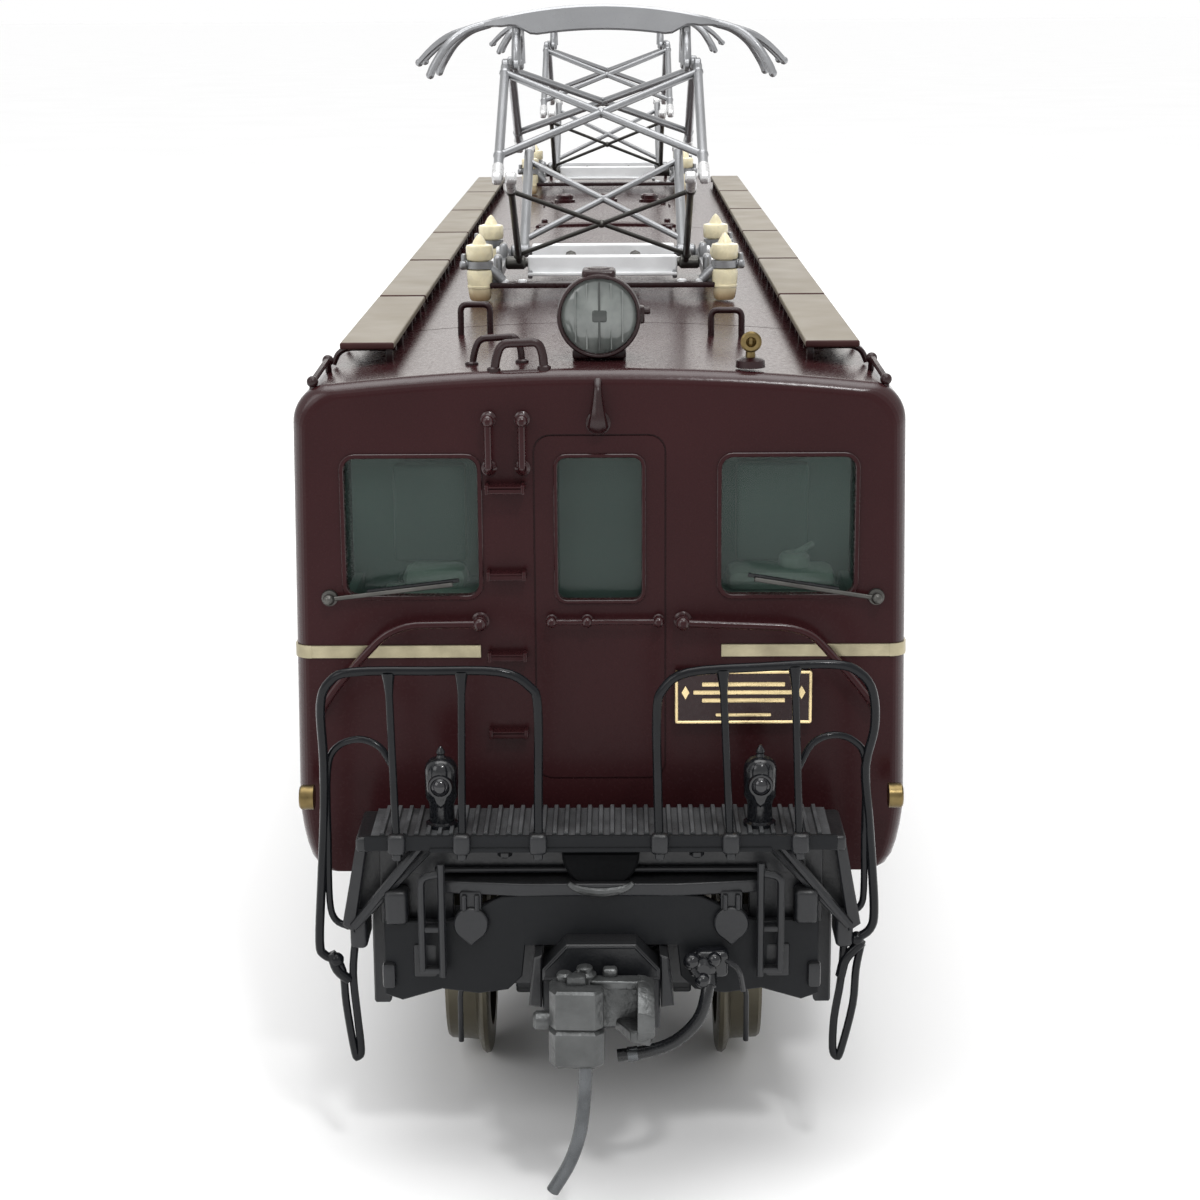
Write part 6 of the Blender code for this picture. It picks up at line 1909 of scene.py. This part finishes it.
def make_side_trim():
    """Framed doors with handrails, framed louvre banks and a gutter strip on both sides."""
    parts = []
    rails = []
    for side in (-1, 1):
        for y0, y1 in ((-82.8, -76.8), (-9.0, -3.5), (75.6, 80.4)):
            panel = rounded_rectangle(y0, 19.8, y1, 43.0, 0.5)
            parts.append(side_frame(side, panel, 0.3, y0, 31.0))
            for y in (y0 - 0.9, y1 + 0.9):
                line = [(side * (skin_x(y, z) + proud), y, z)
                        for z, proud in ((38.0, -0.1), (38.0, 0.7), (24.0, 0.7), (24.0, -0.1))]
                rails.append(sweep(bent_route(line, 0.4, 4), 0.17, 8))
        for y0, y1 in ((-63.0, -47.0), (-38.0, -22.0), (12.5, 27.5), (37.5, 52.5)):
            for row in range(6):
                z = 21.4 + 1.15 * row
                parts.append(side_strip(y0, y1, z, z + 0.5, 0.22, side, 2))
            panel = rounded_rectangle(y0 - 0.6, 20.7, y1 + 0.6, 28.6, 0.4)
            parts.append(side_frame(side, panel, 0.25, y0, 24.6))
        parts.append(side_strip(-88.0, 70.0, 43.35, 43.65, 0.16, side, 6))
    add_piece("side_panels", [(parts, "paint")])
    add_piece("side_handrails", [(rails, "dark_paint")])


def make_nose_trim():
    """Recessed nose headlight, two marker lamps, handrails and a plain badge plate."""
    rim_parts = []
    glass_parts = []
    for x, z, radius in ((0.0, 33.6, 2.3), (-9.2, 23.8, 1.05), (9.2, 23.8, 1.05)):
        y = nose_y(x, z)
        slope = Vector((nose_y(x + 0.2, z) - nose_y(x - 0.2, z), 0,
                        nose_y(x, z + 0.2) - nose_y(x, z - 0.2))) / 0.4
        ahead = Vector((-slope.x, 1.0, -slope.z)).normalized()
        turn = Vector((0, 1, 0)).rotation_difference(ahead).to_matrix().to_4x4()
        place = Matrix.Translation(Vector((x, y, z))) @ turn
        ring = ring_shape([(-0.9, radius * 1.05), (-0.9, radius * 1.2), (0.25, radius * 1.2),
                           (0.45, radius * 1.1), (0.4, radius * 0.98), (-0.3, radius * 0.95)],
                          "Y", (0, 0, 0), 36)
        lens = turned([(-0.5, radius * 1.06), (-0.1, radius * 1.0), (0.22, radius * 0.7),
                       (0.32, radius * 0.3), (0.34, 0.02)], "Y", (0, 0, 0), 36)
        rim_parts.append(moved(ring, place))
        glass_parts.append((moved(lens, place), "lens" if x == 0.0 else "red_lens"))
    rail_z = 28.2
    for side in (-1, 1):
        line = []
        for step in range(7):
            x = side * (3.6 + 7.8 * step / 6)
            line.append((x, nose_y(x, rail_z) + (0.85 if 0 < step < 6 else -0.2), rail_z))
        rim_parts.append(sweep(bent_route(line, 0.4, 3), 0.2, 10))
    plate_y = nose_y(0.0, 25.4)
    parts = [(rim_parts, "dark_paint")] + glass_parts
    parts.append((box((-3.6, plate_y - 1.2, 24.0), (3.6, plate_y + 0.25, 26.8), 0.1), "dark_paint"))
    badge = frame_ring(rounded_rectangle(-3.5, 24.1, 3.5, 26.7, 0.2, 3), 0.2, "Y", plate_y, plate_y + 0.34)
    parts.append((badge, "gilt"))
    add_piece("nose_lamps", parts)


def make_underframe():
    make_deck()
    make_rear_pilot()
    make_railing("left_wirework", RAILINGS["left"])
    make_railing("right_wirework", RAILINGS["right"])
    make_tail_lamp("left_tail_lantern", "left_tail_lamp", -9.0)
    make_tail_lamp("right_tail_lantern", "right_tail_lamp", 9.0)
    make_air_hose()
    make_nose_pilot()
    number = 1
    for end, truck in TRUCKS.items():
        make_truck(end, truck)
        make_motor(end, truck["out"])
        make_worm(end, truck["drivers"])
        for _ in truck["drivers"]:
            make_wheelset(f"driving_wheels_{number}", f"drive_wheelset_{number}", f"drive_axle_{number}",
                          14, 1.95, 13.6, True)
            number += 1
        make_coupler(end, truck["out"])
    make_pony()
    make_bogie()
    make_wheelset("pony_wheels", "pony_wheelset", "pony_axle", 10, 1.6, 11.0, False)
    for index in (1, 2):
        make_wheelset(f"leading_wheels_{index}", f"leading_wheelset_{index}", f"leading_axle_{index}",
                      10, 1.6, 11.0, False)


# ---- stage, camera and light ----

CAMERA_PLACE = (1.08, -228.9, 66.0)
CAMERA_LENS = 71.4
CAMERA_DOWN, CAMERA_LEFT, CAMERA_LEAN = 13.87, 0.47, 0.35
FLOOR_RADIUS = 40.0
SKY = 0.78
HORIZON = 1.0
SUN = 1.1


def aim(thing, target):
    direction = Vector(target) - thing.location
    thing.rotation_mode = "QUATERNION"
    thing.rotation_quaternion = direction.to_track_quat("-Z", "Y")


def make_camera():
    """Just above the roof, square to the flat end, with a hand-held lean of a third of a degree."""
    pitch, yaw, roll = (math.radians(degrees) for degrees in (CAMERA_DOWN, CAMERA_LEFT, CAMERA_LEAN))
    ahead = Vector((-math.sin(yaw) * math.cos(pitch), math.cos(yaw) * math.cos(pitch), -math.sin(pitch)))
    right = ahead.cross(Vector((0, 0, 1))).normalized()
    up = right.cross(ahead)
    level_right = math.cos(roll) * right - math.sin(roll) * up
    level_up = math.sin(roll) * right + math.cos(roll) * up
    camera = bpy.data.objects.new("camera", bpy.data.cameras.new("camera"))
    bpy.context.scene.collection.objects.link(camera)
    turn = Matrix((level_right, level_up, -ahead)).transposed().to_4x4()
    camera.matrix_world = Matrix.Translation(Vector(CAMERA_PLACE) * MM) @ turn
    camera.data.lens = CAMERA_LENS
    camera.data.sensor_width = 36.0
    camera.data.clip_start = 0.005
    camera.data.clip_end = 20.0
    bpy.context.scene.camera = camera


def soft_light(name, place, target, size, power, colour=(1.0, 1.0, 1.0)):
    """A square soft light; place, target and size are in millimetres."""
    data = bpy.data.lights.new(name, "AREA")
    data.size = size * MM
    data.energy = power
    data.color = colour
    light = bpy.data.objects.new(name, data)
    bpy.context.scene.collection.objects.link(light)
    light.location = Vector(place) * MM
    aim(light, Vector(target) * MM)


def make_stage():
    """A pale floor that runs to the horizon, a sky brightest there, a broad sun and soft lamps."""
    floor = bpy.data.meshes.new("floor")
    shape = bmesh.new()
    bmesh.ops.create_circle(shape, cap_ends=True, segments=64, radius=FLOOR_RADIUS)
    shape.to_mesh(floor)
    shape.free()
    sheet = bpy.data.objects.new("floor", floor)
    bpy.context.scene.collection.objects.link(sheet)
    made, tree, shader = new_material("pale_floor")
    _, shown = mottled(tree, 60.0, 3.0, (0.87, 0.87, 0.87), (0.89, 0.89, 0.89))
    socket_link(tree, shown, shader.inputs["Base Color"])
    shader.inputs["Roughness"].default_value = 0.9
    shader.inputs["IOR"].default_value = 1.1
    floor.materials.append(made)

    world = bpy.data.worlds.new("studio")
    bpy.context.scene.world = world
    world.use_nodes = True
    background = world.node_tree.nodes["Background"]
    background.inputs["Color"].default_value = (1.0, 1.0, 1.0, 1.0)
    sky = world.node_tree
    height = direction_parts(sky, "ShaderNodeTexCoord", "Generated")["Z"]
    glow = ramp(sky, height, 0.03, 0.1, HORIZON, SKY)
    socket_link(sky, glow, background.inputs["Strength"])
    sun = bpy.data.objects.new("even_sun", bpy.data.lights.new("even_sun", "SUN"))
    sun.data.energy = SUN
    sun.data.angle = math.radians(60)
    bpy.context.scene.collection.objects.link(sun)
    soft_light("overhead", (0, -20, 420), (0, 20, 40), 330, 0.7)
    soft_light("front_left", (-260, -330, 240), (0, -80, 30), 200, 0.3)
    soft_light("small_key", (70, -330, 330), (0, -90, 30), 36, 0.34)
    soft_light("behind", (0, 420, 220), (0, 40, 40), 260, 0.25, (1.0, 0.97, 0.92))
    bpy.context.scene.view_settings.view_transform = "Standard"


def make_pantographs():
    for end, centre_y in (("rear", PANTO_REAR_Y), ("nose", PANTO_NOSE_Y)):
        make_insulators(end)
        make_panto_base(end, centre_y)
        make_panto_arms(end, centre_y)
        make_panto_head(end, centre_y)


def carry_over(node, material):
    """Keep a CAD node's shape and give it a finish."""
    piece = frame["nodes"][node]
    piece.data.materials.clear()
    piece.data.materials.append(MATERIALS[material])


make_camera()
make_stage()
make_body()
make_window_rims()
make_belt()
make_face_handrails()
make_face_steps()
make_marker_hook()
make_wipers()
make_number_plate()
make_side_buttons()
make_cab("rear_cab_fittings", "rear_cab_interior", -1)
make_cab("nose_cab_fittings", "nose_cab_interior", 1)
make_headlight()
make_whistle()
make_walkways()
make_roof_grabs()
make_roof_hatches()
make_pantographs()
make_underframe()
make_side_trim()
make_nose_trim()
carry_over("window_glazing", "glass")
carry_over("floor_plate", "black")
